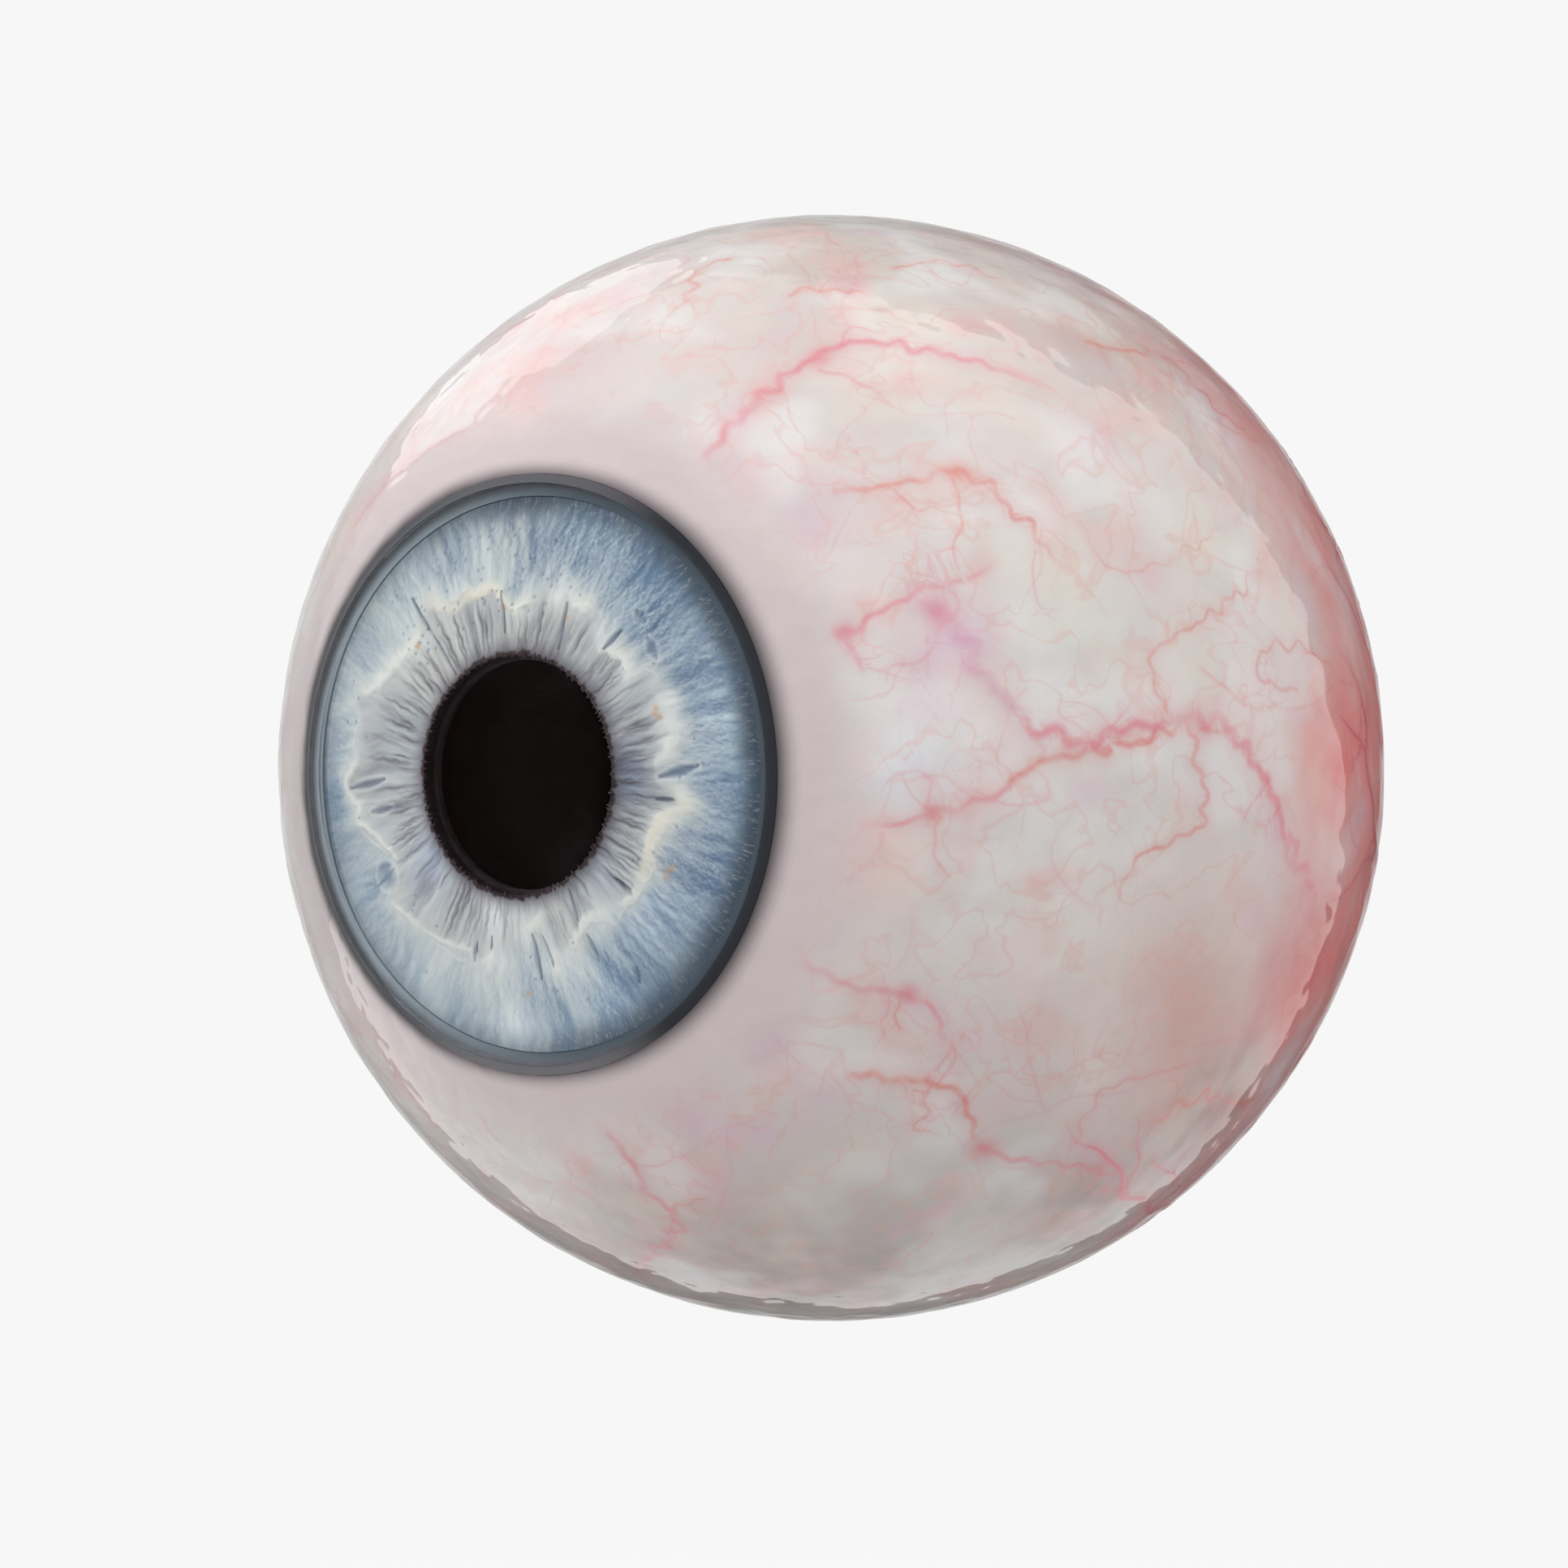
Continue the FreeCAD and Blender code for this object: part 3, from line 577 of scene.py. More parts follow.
def vessels_shown(tree, place, prefix, waver):
    """Mask and halo of a painted network, from what paint_vessels has stored."""
    size = shade(tree, "SeparateXYZ", {0: attribute(tree, prefix + "_size").outputs["Vector"]})
    return use_group(tree, "vessel_lines", {
        "Place": place, "To Line": attribute(tree, prefix + "_way").outputs["Vector"],
        "Distance": size.outputs[0], "Half Width": size.outputs[1], "Strength": size.outputs[2],
        "Spacing": LINE_SPACING, "Waver": waver})


# ---- vessels ----
LINE_SPACING = 0.3        # mm; keeps false lines away where neighbouring points look to different vessels


class VesselMap:
    """Middle lines of painted vessels on a ball, and the nearest of them to any place."""

    STEP = 0.2

    def __init__(self, radius):
        self.radius = radius
        self.points, self.tangents, self.sizes, self.tints = [], [], [], []

    def lay(self, line, width_start, width_end, strength, tint):
        """Adds a line of places, thinning from one half width to the other."""
        line = np.array([tuple(p) for p in line])
        lengths = np.linalg.norm(np.diff(line, axis=0), axis=1)
        walked = np.concatenate([[0.0], np.cumsum(lengths)])
        count = max(int(walked[-1] / self.STEP), 3)
        at = np.linspace(0.0, walked[-1], count)
        dense = np.stack([np.interp(at, walked, line[:, k]) for k in range(3)], axis=1)
        dense *= self.radius / np.linalg.norm(dense, axis=1)[:, None]
        tangent = np.gradient(dense, axis=0)
        tangent /= np.maximum(np.linalg.norm(tangent, axis=1)[:, None], 1e-9)
        tangent[0] = tangent[-1] = 0.0
        share = at / max(walked[-1], 1e-9)
        width = width_start + (width_end - width_start) * share
        fade = np.minimum(1.0, 4.0 * (1.0 - share) + 0.15)
        self.points.append(dense)
        self.tangents.append(tangent)
        self.sizes.append(np.stack([width, strength * fade], axis=1))
        self.tints.append(np.repeat(np.asarray(tint)[None], count, axis=0))

    def close(self):
        """Joins what was laid and makes it searchable."""
        self.points = np.concatenate(self.points)
        self.tangents = np.concatenate(self.tangents)
        self.sizes = np.concatenate(self.sizes)
        self.tints = np.concatenate(self.tints)
        self.tree = kdtree.KDTree(len(self.points))
        for k, place in enumerate(self.points.tolist()):
            self.tree.insert(place, k)
        self.tree.balance()

    def nearest(self, places):
        """For each place: the way to the line, then distance, half width and strength, then tint."""
        found = np.array([self.tree.find(p)[1] for p in places.tolist()])
        way = self.points[found] - places
        along = self.tangents[found]
        way = way - along * np.einsum("ij,ij->i", way, along)[:, None]
        size = np.concatenate([np.linalg.norm(way, axis=1)[:, None], self.sizes[found]], axis=1)
        return way, size, self.tints[found]


ROUTE_STEP = 0.4
ROUTE_WAVES = ((2.7, 0.9), (4.3, 0.8), (1.5, 0.12))      # wave length in mm, share of the wiggle
ROUTE_REACH = 2.2         # mm aside for a wiggle of 1


def smooth_route(points, wiggle, rng):
    """A smooth line through places on a ball, with the small bends of a real vessel."""
    points = np.array([tuple(p) for p in points])
    radius = np.linalg.norm(points[0])
    ends = np.concatenate([points[:1], points, points[-1:]])
    line = []
    for p0, p1, p2, p3 in zip(ends, ends[1:], ends[2:], ends[3:]):
        steps = max(int(np.linalg.norm(p2 - p1) / ROUTE_STEP), 2)
        t = np.linspace(0.0, 1.0, steps, endpoint=False)[:, None]
        line.append(0.5 * (2 * p1 + (p2 - p0) * t + (2 * p0 - 5 * p1 + 4 * p2 - p3) * t**2
                           + (3 * p1 - p0 - 3 * p2 + p3) * t**3))
    line = np.concatenate(line + [points[-1:]])
    tangent = np.gradient(line, axis=0)
    aside = np.cross(line, tangent)
    aside /= np.maximum(np.linalg.norm(aside, axis=1)[:, None], 1e-9)
    count = len(line)
    walked = np.arange(count) * ROUTE_STEP
    bend = np.zeros(count)
    for wave, share in ROUTE_WAVES:
        pace = 2 * math.pi * walked / wave * rng.uniform(0.85, 1.15)
        bend += share * np.sin(pace + rng.uniform(*ANY_BEARING))
    calmer = 0.6 + 0.4 * np.sin(walked / rng.uniform(3.0, 6.0) + rng.uniform(*ANY_BEARING))
    bend *= ROUTE_REACH * wiggle * calmer * np.minimum(1.0, np.minimum(walked, walked[::-1]) / 1.5)
    line = line + aside * bend[:, None]
    return line * (radius / np.linalg.norm(line, axis=1)[:, None])


def wander(rng, start, heading, length, crook, step=0.45, goal=None, pull=0.0):
    """A winding line over a ball from a place, towards a heading."""
    radius = start.length
    here, way, turn = start.normalized(), heading.normalized(), 0.0
    line = [here * radius]
    for _ in range(max(int(length / step), 2)):
        turn = 0.72 * turn + rng.normal(0.0, crook)
        way = Matrix.Rotation(turn, 3, here) @ way
        if goal is not None:
            way = way + (goal - here * here.dot(goal)) * pull
        way = (way - here * here.dot(way)).normalized()
        here = (here + way * (step / radius)).normalized()
        line.append(here * radius)
    return line


def off_line(rng, line, at, spread):
    """A place on a line and a heading that leaves it to one side."""
    here = line[at]
    ahead = line[min(at + 1, len(line) - 1)] - line[max(at - 1, 0)]
    angle = rng.choice([-1, 1]) * rng.uniform(*spread)
    return here, Matrix.Rotation(angle, 3, here.normalized()) @ ahead


def sprout(vessels, rng, start, heading, length, width, strength, tint, crook, depth, goal=None, pull=0.0):
    """A branching vessel."""
    line = wander(rng, start, heading, length, crook, goal=goal, pull=pull)
    vessels.lay(line, width, width * 0.45, strength, tint)
    if depth == 0:
        return
    for _ in range(int(rng.integers(1, 4))):
        at = int(rng.uniform(0.15, 0.9) * (len(line) - 1))
        here, way = off_line(rng, line, at, (0.7, 1.4))
        rest = length * (1.0 - at / len(line))
        sprout(vessels, rng, here, way, max(rest * rng.uniform(0.4, 0.9), 2.0), width * 0.55,
               strength * 0.8, tint, crook * 1.15, depth - 1, goal, pull)


# Painted vessels in the camera's view: finish, half width in mm, strength, wiggle, places in pixels.
FRONT_VESSELS = {
    "upper_arch": ("pink", 0.44, 0.85, 0.22, (
        (870, 560), (905, 520), (960, 470), (1010, 435), (1060, 420), (1110, 425),
        (1160, 435), (1205, 445), (1250, 460), (1300, 480))),
    "upper_arch_branch": ("pink", 0.24, 0.6, 0.2, ((1010, 455), (1060, 470), (1085, 485), (1100, 500))),
    "second_arch": ("red", 0.30, 0.8, 0.25, (
        (1030, 605), (1100, 597), (1180, 580), (1220, 600), (1250, 630), (1280, 660), (1310, 700))),
    "second_arch_branch": ("red", 0.16, 0.5, 0.2, ((1175, 590), (1185, 640), (1175, 680), (1190, 720))),
    "second_arch_twig": ("red", 0.15, 0.5, 0.2, ((1100, 597), (1130, 625), (1180, 630))),
    "hub_rise": ("pink", 0.30, 0.8, 0.15, (
        (1030, 780), (1060, 768), (1100, 745), (1140, 725), (1200, 710), (1230, 690))),
    "hub_tail": ("pink", 0.34, 0.8, 0.1, ((1030, 778), (1050, 800), (1065, 830))),
    "lilac_drop": ("lilac", 0.62, 0.75, 0.25, (
        (1140, 745), (1160, 760), (1190, 790), (1210, 830), (1250, 870), (1280, 900))),
    "middle_vessel": ("pink", 0.50, 0.9, 0.24, (
        (1265, 885), (1300, 905), (1350, 915), (1385, 895), (1420, 895), (1450, 885), (1475, 883))),
    "middle_vessel_far": ("pink", 0.48, 0.95, 0.3, (
        (1475, 883), (1510, 895), (1540, 930), (1565, 970), (1580, 1010), (1590, 1065), (1615, 1080))),
    "middle_strand": ("red", 0.34, 0.85, 0.2, (
        (1245, 965), (1280, 940), (1350, 925), (1400, 915), (1450, 895), (1475, 880))),
    "middle_down": ("red", 0.24, 0.7, 0.25, (
        (1465, 895), (1480, 950), (1485, 1010), (1440, 1040), (1400, 1060), (1375, 1120))),
    "middle_up": ("red", 0.20, 0.6, 0.25, (
        (1440, 880), (1420, 830), (1425, 800), (1480, 765), (1520, 735), (1560, 700))),
    "lower_strand": ("pink", 0.30, 0.75, 0.2, (
        (1245, 970), (1200, 990), (1150, 1000), (1110, 1015), (1060, 1020))),
    "lower_strand_twig": ("pink", 0.18, 0.6, 0.2, ((1140, 995), (1150, 965), (1130, 950))),
    "lower_strand_fine": ("red", 0.13, 0.45, 0.2, ((1160, 1005), (1150, 1050), (1175, 1085))),
    "right_loop": ("red", 0.20, 0.6, 0.2, ((1600, 850), (1560, 840), (1553, 805), (1600, 795), (1650, 830))),
    "low_vessel": ("pink", 0.32, 0.8, 0.25, (
        (990, 1180), (1020, 1205), (1070, 1220), (1110, 1225), (1150, 1245), (1165, 1280), (1180, 1285))),
    "low_vessel_twig": ("red", 0.17, 0.55, 0.2, ((1110, 1230), (1105, 1250), (1110, 1275))),
    "lowest_vessel": ("red", 0.36, 0.85, 0.28, (
        (1050, 1325), (1100, 1330), (1145, 1335), (1185, 1350), (1195, 1380), (1210, 1415))),
    "lowest_vessel_far": ("pink", 0.34, 0.75, 0.35, (
        (1210, 1415), (1250, 1430), (1300, 1435), (1340, 1440), (1365, 1450), (1370, 1485))),
    "lowest_twig": ("red", 0.18, 0.55, 0.25, ((1145, 1340), (1135, 1390), (1160, 1400))),
    "lowest_fine": ("red", 0.17, 0.5, 0.25, (
        (1320, 1420), (1345, 1365), (1370, 1340), (1420, 1325), (1500, 1300))),
    "bottom_vessel": ("pink", 0.38, 0.8, 0.3, (
        (750, 1400), (775, 1430), (800, 1475), (830, 1495), (830, 1520), (800, 1550), (780, 1575))),
    "bottom_twig": ("red", 0.2, 0.55, 0.2, ((830, 1490), (850, 1480), (875, 1480))),
    "top_left_vessel": ("red", 0.26, 0.6, 0.2, ((900, 318), (860, 330), (850, 360), (820, 390))),
    "top_tangle": ("red", 0.28, 0.7, 0.45, ((975, 362), (1000, 355), (1040, 358), (1075, 362))),
    "top_right_vessel": ("red", 0.20, 0.5, 0.25, ((1100, 330), (1160, 320), (1200, 330), (1240, 345))),
    "lower_left_vessel": ("pink", 0.26, 0.6, 0.2, ((445, 1240), (470, 1290), (490, 1340))),
    "lower_left_twig": ("red", 0.16, 0.5, 0.2, ((595, 1380), (605, 1400), (622, 1412))),
    "right_limb_vessel": ("red", 0.34, 0.85, 0.3, ((1420, 1385), (1480, 1352), (1540, 1360), (1570, 1330))),
    "upper_right_vessel": ("red", 0.26, 0.6, 0.3, (
        (1340, 420), (1380, 430), (1440, 440), (1480, 480), (1520, 520), (1570, 560))),
    "right_fall": ("pink", 0.40, 0.8, 0.3, ((1590, 1030), (1605, 1070), (1622, 1105), (1615, 1150))),
    "lime_arch": ("red", 0.13, 0.4, 0.2, ((1330, 640), (1370, 700), (1440, 690), (1520, 640))),
    "left_streak": ("pink", 0.55, 0.45, 0.1, ((440, 640), (480, 590), (530, 550), (600, 520))),
}

# Soft patches of paint in the camera's view, among them painted shade at the bottom and lower right: place in
# pixels, radius in mm, screen colour, weight.
SCLERA_WASHES = {
    "top_beige": ((1000, 300), 15.0, (206, 196, 186), 0.7),
    # painted shade: the bottom of the globe is painted darker
    "bottom_painted_shade": ((960, 1590), 20.0, (168, 146, 138), 0.9),
    "orange_patch": ((1075, 1050), 4.5, (238, 200, 192), 0.8),
    "orange_low": ((1450, 1270), 11.0, (214, 162, 150), 0.80),
    "purple_upper": ((990, 640), 4.5, (220, 192, 204), 0.8),
    "purple_middle": ((1175, 800), 5.0, (224, 198, 214), 0.85),
    "purple_centre": ((1225, 930), 4.5, (226, 196, 206), 0.8),
    "purple_low": ((860, 1370), 4.5, (218, 188, 196), 0.8),
    "pink_low": ((945, 1250), 4.0, (218, 192, 202), 0.7),
    "pale_upper": ((1100, 510), 6.0, (208, 198, 194), 0.8),
    "pale_mid": ((1340, 790), 7.5, (224, 224, 216), 0.8),
    "pale_right": ((1480, 640), 7.0, (222, 214, 204), 0.6),
    "cool_mid": ((1330, 1000), 6.0, (226, 224, 222), 0.75),
    "cool_left": ((1060, 900), 4.0, (216, 208, 214), 0.6),
    "cool_hub": ((1110, 940), 4.5, (224, 230, 240), 0.8),
    "grey_low": ((1200, 1440), 8.0, (198, 190, 186), 0.75),
    "green_low": ((1330, 1130), 7.0, (232, 224, 218), 0.75),
    "pink_left": ((455, 640), 6.0, (226, 194, 196), 0.7),
    "pink_upper_left": ((640, 500), 6.0, (222, 200, 206), 0.7),
    "pink_bottom_left": ((480, 1310), 5.0, (210, 178, 176), 0.7),
    "pink_bottom": ((800, 1450), 5.5, (214, 190, 188), 0.6),
    "red_right": ((1650, 930), 9.0, (228, 124, 118), 0.85),
    "red_right_low": ((1610, 1210), 8.5, (236, 92, 92), 0.9),
    "red_right_mid": ((1640, 700), 6.0, (228, 138, 134), 0.7),
    "pink_top_right": ((1370, 420), 9.0, (204, 168, 162), 0.75),
    "pink_right_band": ((1490, 430), 7.0, (216, 160, 152), 0.7),
    "pink_low_right": ((1470, 1440), 8.0, (212, 158, 152), 0.6),
    "red_right_up": ((1560, 520), 7.0, (206, 160, 152), 0.7),
    "pink_limbus_top": ((915, 590), 3.2, (224, 180, 190), 0.75),
    "lilac_limbus_low": ((955, 1300), 3.4, (216, 180, 198), 0.7),
    "top_band_left": ((715, 422), 7.0, (208, 182, 182), 0.6),
    "top_band": ((980, 405), 8.0, (206, 188, 182), 0.5),
    "top_band_right": ((1270, 465), 8.0, (206, 184, 176), 0.5),
    # painted shade: the lower right of the globe is painted darker, redder towards the edge
    "shade_low": ((1150, 1560), 9.0, (140, 130, 122), 0.7),
    "shade_low_right": ((1345, 1490), 9.0, (136, 112, 104), 0.75),
    "shade_right_low": ((1512, 1350), 8.0, (148, 104, 98), 0.75),
    "shade_right": ((1615, 1160), 7.0, (180, 86, 86), 0.65),
    "knot_top": ((1012, 440), 1.3, (222, 140, 142), 0.75),
    "knot_hub": ((1042, 778), 1.0, (216, 132, 148), 0.9),
    "knot_lilac": ((1155, 752), 1.2, (222, 140, 156), 0.85),
    "knot_second": ((1180, 582), 1.1, (222, 140, 132), 0.7),
    "knot_middle": ((1468, 885), 1.4, (214, 112, 112), 0.85),
    "knot_strand": ((1150, 1003), 1.0, (222, 140, 136), 0.7),
    "knot_low": ((1120, 1226), 1.0, (220, 130, 130), 0.75),
    "knot_lowest": ((1145, 1335), 1.2, (214, 118, 118), 0.85),
    "knot_bottom": ((1212, 1418), 1.4, (214, 126, 124), 0.8),
    "knot_far": ((1360, 1438), 1.2, (218, 132, 130), 0.7),
}

SMOOTH_WASHES = ("orange_patch", "orange_low", "red_right_low", "shade_right")    # without mottling
CRIMSON_SHARE = np.array([0.72, 0.16, 0.24])    # of a vessel's tint, for each channel, on the red back
FRONT_STRENGTH = 0.64     # the drawn vessels show with this share of their strength
TWIG_STRENGTH = 0.38      # and their twigs with this
BROAD_VESSEL = 0.35       # half width in mm from which a vessel counts as broad
REAR_TREES = 26
WHITE_REACH = 45.0        # capillaries start no further forward than this, in mm


def tint_of(colours, finish):
    return np.array({"red": colours.vessel_red, "pink": colours.vessel_pink,
                     "lilac": colours.vessel_lilac}[finish][:3])


def sclera_vessels(sizes, colours):
    """The broad and the middle vessels and the capillaries of the white of the eye."""
    rng = np.random.default_rng(sizes.seed)
    broad, middle, fine = VesselMap(GLOBE_RADIUS), VesselMap(GLOBE_RADIUS), VesselMap(GLOBE_RADIUS)
    finishes = ("red", "pink", "lilac")
    forward = Vector((0.0, -1.0, 0.0))
    for finish, width, strength, wiggle, pixels in FRONT_VESSELS.values():
        places = [seen_on(GLOBE_RADIUS, 0.0, p) for p in pixels]
        line = smooth_route(places, wiggle, rng)
        width *= sizes.vessel_scale
        own, twigs = (broad, middle) if width > BROAD_VESSEL * sizes.vessel_scale else (middle, fine)
        own.lay(line, width * 1.1, width * 0.8, strength * FRONT_STRENGTH, tint_of(colours, finish))
        line = [Vector(p) for p in line]
        for _ in range(int(rng.integers(1, 4))):
            here, way = off_line(rng, line, int(rng.uniform(0.05, 0.95) * (len(line) - 1)), (0.7, 1.5))
            sprout(twigs, rng, here, way, rng.uniform(4.0, 11.0), width * 0.42,
                   strength * TWIG_STRENGTH, tint_of(colours, rng.choice(finishes[:2])), 0.09, 1)
    # trees that climb over the hidden side, from round the nerve towards the iris
    for k in range(REAR_TREES):
        angle = 2 * math.pi * (k + rng.uniform(-0.3, 0.3)) / REAR_TREES
        rear = math.radians(rng.uniform(18, 80))
        start = Vector((math.sin(rear) * math.cos(angle), math.cos(rear), math.sin(rear) * math.sin(angle)))
        if start.dot(TO_CAMERA) > 0.2:
            continue
        heading = Matrix.Rotation(rng.uniform(-0.5, 0.5), 3, start) @ forward
        sprout(broad, rng, start * GLOBE_RADIUS, heading, rng.uniform(30, 64), rng.uniform(0.22, 0.48),
               rng.uniform(0.65, 1.0), tint_of(colours, rng.choice(finishes)), 0.055, 2, forward, 0.02)
    for k in range(sizes.capillary_count):
        start = Vector(rng.normal(0.0, 1.0, 3)).normalized()
        if -start.y * GLOBE_RADIUS > WHITE_REACH:
            continue
        heading = Matrix.Rotation(rng.uniform(*ANY_BEARING), 3, start) @ start.orthogonal()
        tint = tint_of(colours, rng.choice(finishes, p=(0.6, 0.28, 0.12)))
        if k % 4 == 0:
            sprout(fine, rng, start * GLOBE_RADIUS, heading, rng.uniform(9.0, 26.0), rng.uniform(0.16, 0.26),
                   rng.uniform(0.10, 0.30), tint, 0.055, 1)
        else:
            sprout(fine, rng, start * GLOBE_RADIUS, heading, rng.uniform(4.0, 12.0), rng.uniform(0.09, 0.15),
                   rng.uniform(0.07, 0.19), tint, 0.07, 0)
    for network in (broad, middle, fine):
        network.close()
    return broad, middle, fine


def paint_vessels(mesh, prefix, vessels, places, dye=1.0):
    way, size, tint = vessels.nearest(places)
    paint(mesh, prefix + "_way", "FLOAT_VECTOR", way)
    paint(mesh, prefix + "_size", "FLOAT_VECTOR", size)
    paint(mesh, prefix + "_tint", "FLOAT_COLOR", with_alpha(tint * dye))


# ---- the white of the eye ----
AROUND_GLOBE = 640
OUTER_RINGS = 122
LACQUER_WAVES = ((5.0, 0.9, 1), (2.2, 0.45, 2), (1.5, 0.3, 3))    # size in mm, height, seed
RED_START = 6.0           # the red paint begins this far in front of the seam
RED_SPREAD = 32.0         # and is full after this stretch
CALM_RADIUS = 33.0        # the calm band round the iris reaches this far from the axis
CALM_SPREAD = 7.0         # and fades over this stretch
LIMBUS_SPREAD = 2.7       # the charcoal fades onto the white over this stretch


def waves(places, size, seed):
    """Smooth noise from -1 to 1 at each place, from its own spot in space."""
    shift = Vector((seed * 17.3, seed * 5.1, seed * 9.7))
    return np.array([noise.noise(Vector(p) / size + shift) for p in places.tolist()])


def lacquer(rings, outer, broad, sizes):
    """Sinks the outer rings by small waves, with the broad vessels standing a little proud."""
    flat = rings[outer].reshape(-1, 3)
    ways = flat / np.linalg.norm(flat, axis=1)[:, None]
    depth = sum(height * waves(flat, size, seed) for size, height, seed in LACQUER_WAVES)
    depth = np.clip(depth, -1.0, 1.0)
    _, size, _ = broad.nearest(flat)
    ridge = bell(size[:, 0], 1.5 * size[:, 1]) * size[:, 2]
    sink = PAINT_DEPTH + sizes.relief_depth * np.maximum(1.1 + depth - ridge, 0.0)
    rings[outer] = (flat - ways * sink[:, None]).reshape(rings[outer].shape)


def sclera_wash(places, colours):
    """Screen colour of the paint at each place, before its mottling."""
    y = places[:, 1]
    wash = np.repeat(written(colours.sclera)[None], len(places), axis=0)
    mottle = np.ones(len(places))
    for name, (pixel, radius, tone, weight) in SCLERA_WASHES.items():
        centre = np.array(seen_on(GLOBE_RADIUS, 0.0, pixel))
        amount = weight * bell(np.linalg.norm(places - centre, axis=1), radius)
        if name in SMOOTH_WASHES:
            mottle *= 1.0 - amount
        wash += (screen(*tone) - wash) * amount[:, None]
    uneven = waves(places, 11.0, 5) * 7.0
    behind = eased(unit((y + uneven + RED_START) / RED_SPREAD))
    wash += (written(colours.posterior) - wash) * 0.92 * behind[:, None]
    across = np.hypot(places[:, 0], places[:, 2])
    calm = unit((across + 0.25 * uneven - CALM_RADIUS) / CALM_SPREAD)
    calm = np.where(y < 0, eased(calm), 1.0)
    # painted light: the calm band is painted up to 6 % brighter underneath, against the shade that falls
    # there
    under = unit(-places[:, 2] / np.maximum(across, 1e-6))
    zone = written(colours.limbus_zone) * (1.0 + 0.06 * under[:, None])
    wash = zone + (wash - zone) * calm[:, None]
    return wash, calm, behind, mottle * calm * (1.0 - 0.6 * behind)


def limbus_shade(places):
    """How far the charcoal of the limbus has spread onto the white."""
    across = np.hypot(places[:, 0], places[:, 2])
    upright = (places[:, 2] / np.maximum(across, 1e-6)) ** 8
    nasal = unit(-places[:, 0] / np.maximum(across, 1e-6))
    amount = unit(0.80 - 0.16 * upright + 0.22 * nasal - (across - LIMBUS_OPENING) / LIMBUS_SPREAD)
    return np.where(places[:, 1] < 0, eased(amount), 0.0)


def sclera_piece(name, rings, outer, vessels, sizes, colours, material, body, slot):
    lacquer(rings, outer, vessels[0], sizes)
    mesh = skin(name, rings)
    points = rings.reshape(-1, 3)
    spheres = points * (GLOBE_RADIUS / np.linalg.norm(points, axis=1))[:, None]
    wash, calm, behind, mottle = sclera_wash(spheres, colours)
    outside = np.zeros(rings.shape[:2])
    outside[outer] = 1.0
    outside = outside.ravel()
    inner_tone = screen(226, 214, 200)
    wash = inner_tone + (wash - inner_tone) * outside[:, None]
    paint(mesh, "wash", "FLOAT_COLOR", with_alpha(to_linear(wash)))
    paint(mesh, "calm", "FLOAT", calm * outside)
    paint(mesh, "mottle", "FLOAT", mottle * outside)
    paint(mesh, "outside", "FLOAT", outside)
    paint(mesh, "limbus", "FLOAT", limbus_shade(spheres) * outside)
    dye = 1.0 - behind[:, None] * (1.0 - CRIMSON_SHARE)
    for prefix, network in zip(("broad", "middle", "fine"), vessels):
        paint_vessels(mesh, prefix, network, spheres, dye)
    place_piece(name, mesh, material, body, slot, name.replace("_skin", ""))


def front_shell_rings():
    """The front half's wall, from the mouth over the outside, the seam and back inside."""
    outer = GLOBE_RADIUS
    inner = outer - SCLERA_WALL
    rebate = inner + LIP_WALL + LIP_CLEARANCE
    rebate_end = -LIP_LENGTH - LIP_CLEARANCE
    mouth = (LIMBUS_OPENING, -beside(outer, LIMBUS_OPENING))
    throat = (LIMBUS_OPENING, -beside(inner, LIMBUS_OPENING))
    land = outer - SEAM_LAND
    ledge = (beside(inner, rebate_end), rebate_end)
    profile = np.concatenate([
        arc(0.0, mouth, (outer, 0.0), OUTER_RINGS),
        runs((outer, 0.0), 2, (land, 0.0), 1, (land - SEAM_RECESS, -SEAM_RECESS), 4,
             (rebate, -SEAM_RECESS), 3, (rebate, rebate_end), 2, ledge),
        arc(0.0, ledge, throat, 13),
        run(throat, mouth, 4),
    ])
    return turned(profile, AROUND_GLOBE), slice(0, OUTER_RINGS + 1)


def nerve_ring(radius, y):
    across, high = circle(AROUND_GLOBE)
    return np.stack([radius * across - NERVE_OFFSET, y + 0 * across, radius * high], axis=1)


def on_ball(points, radius):
    """Moves points along the axis onto the rear of a ball."""
    lifted = points.copy()
    lifted[:, 1] = np.sqrt(radius**2 - points[:, 0] ** 2 - points[:, 2] ** 2)
    return lifted


def fan(start, end, radius, count):
    """Rings over a ball from one ring of points to another, without the last."""
    a, b = start / radius, end / radius
    angle = np.arccos(np.clip(np.einsum("ij,ij->i", a, b), -1, 1))[:, None]
    rings = []
    for t in np.linspace(0.0, 1.0, count, endpoint=False):
        rings.append(radius * (np.sin((1 - t) * angle) * a + np.sin(t * angle) * b) / np.sin(angle))
    return rings


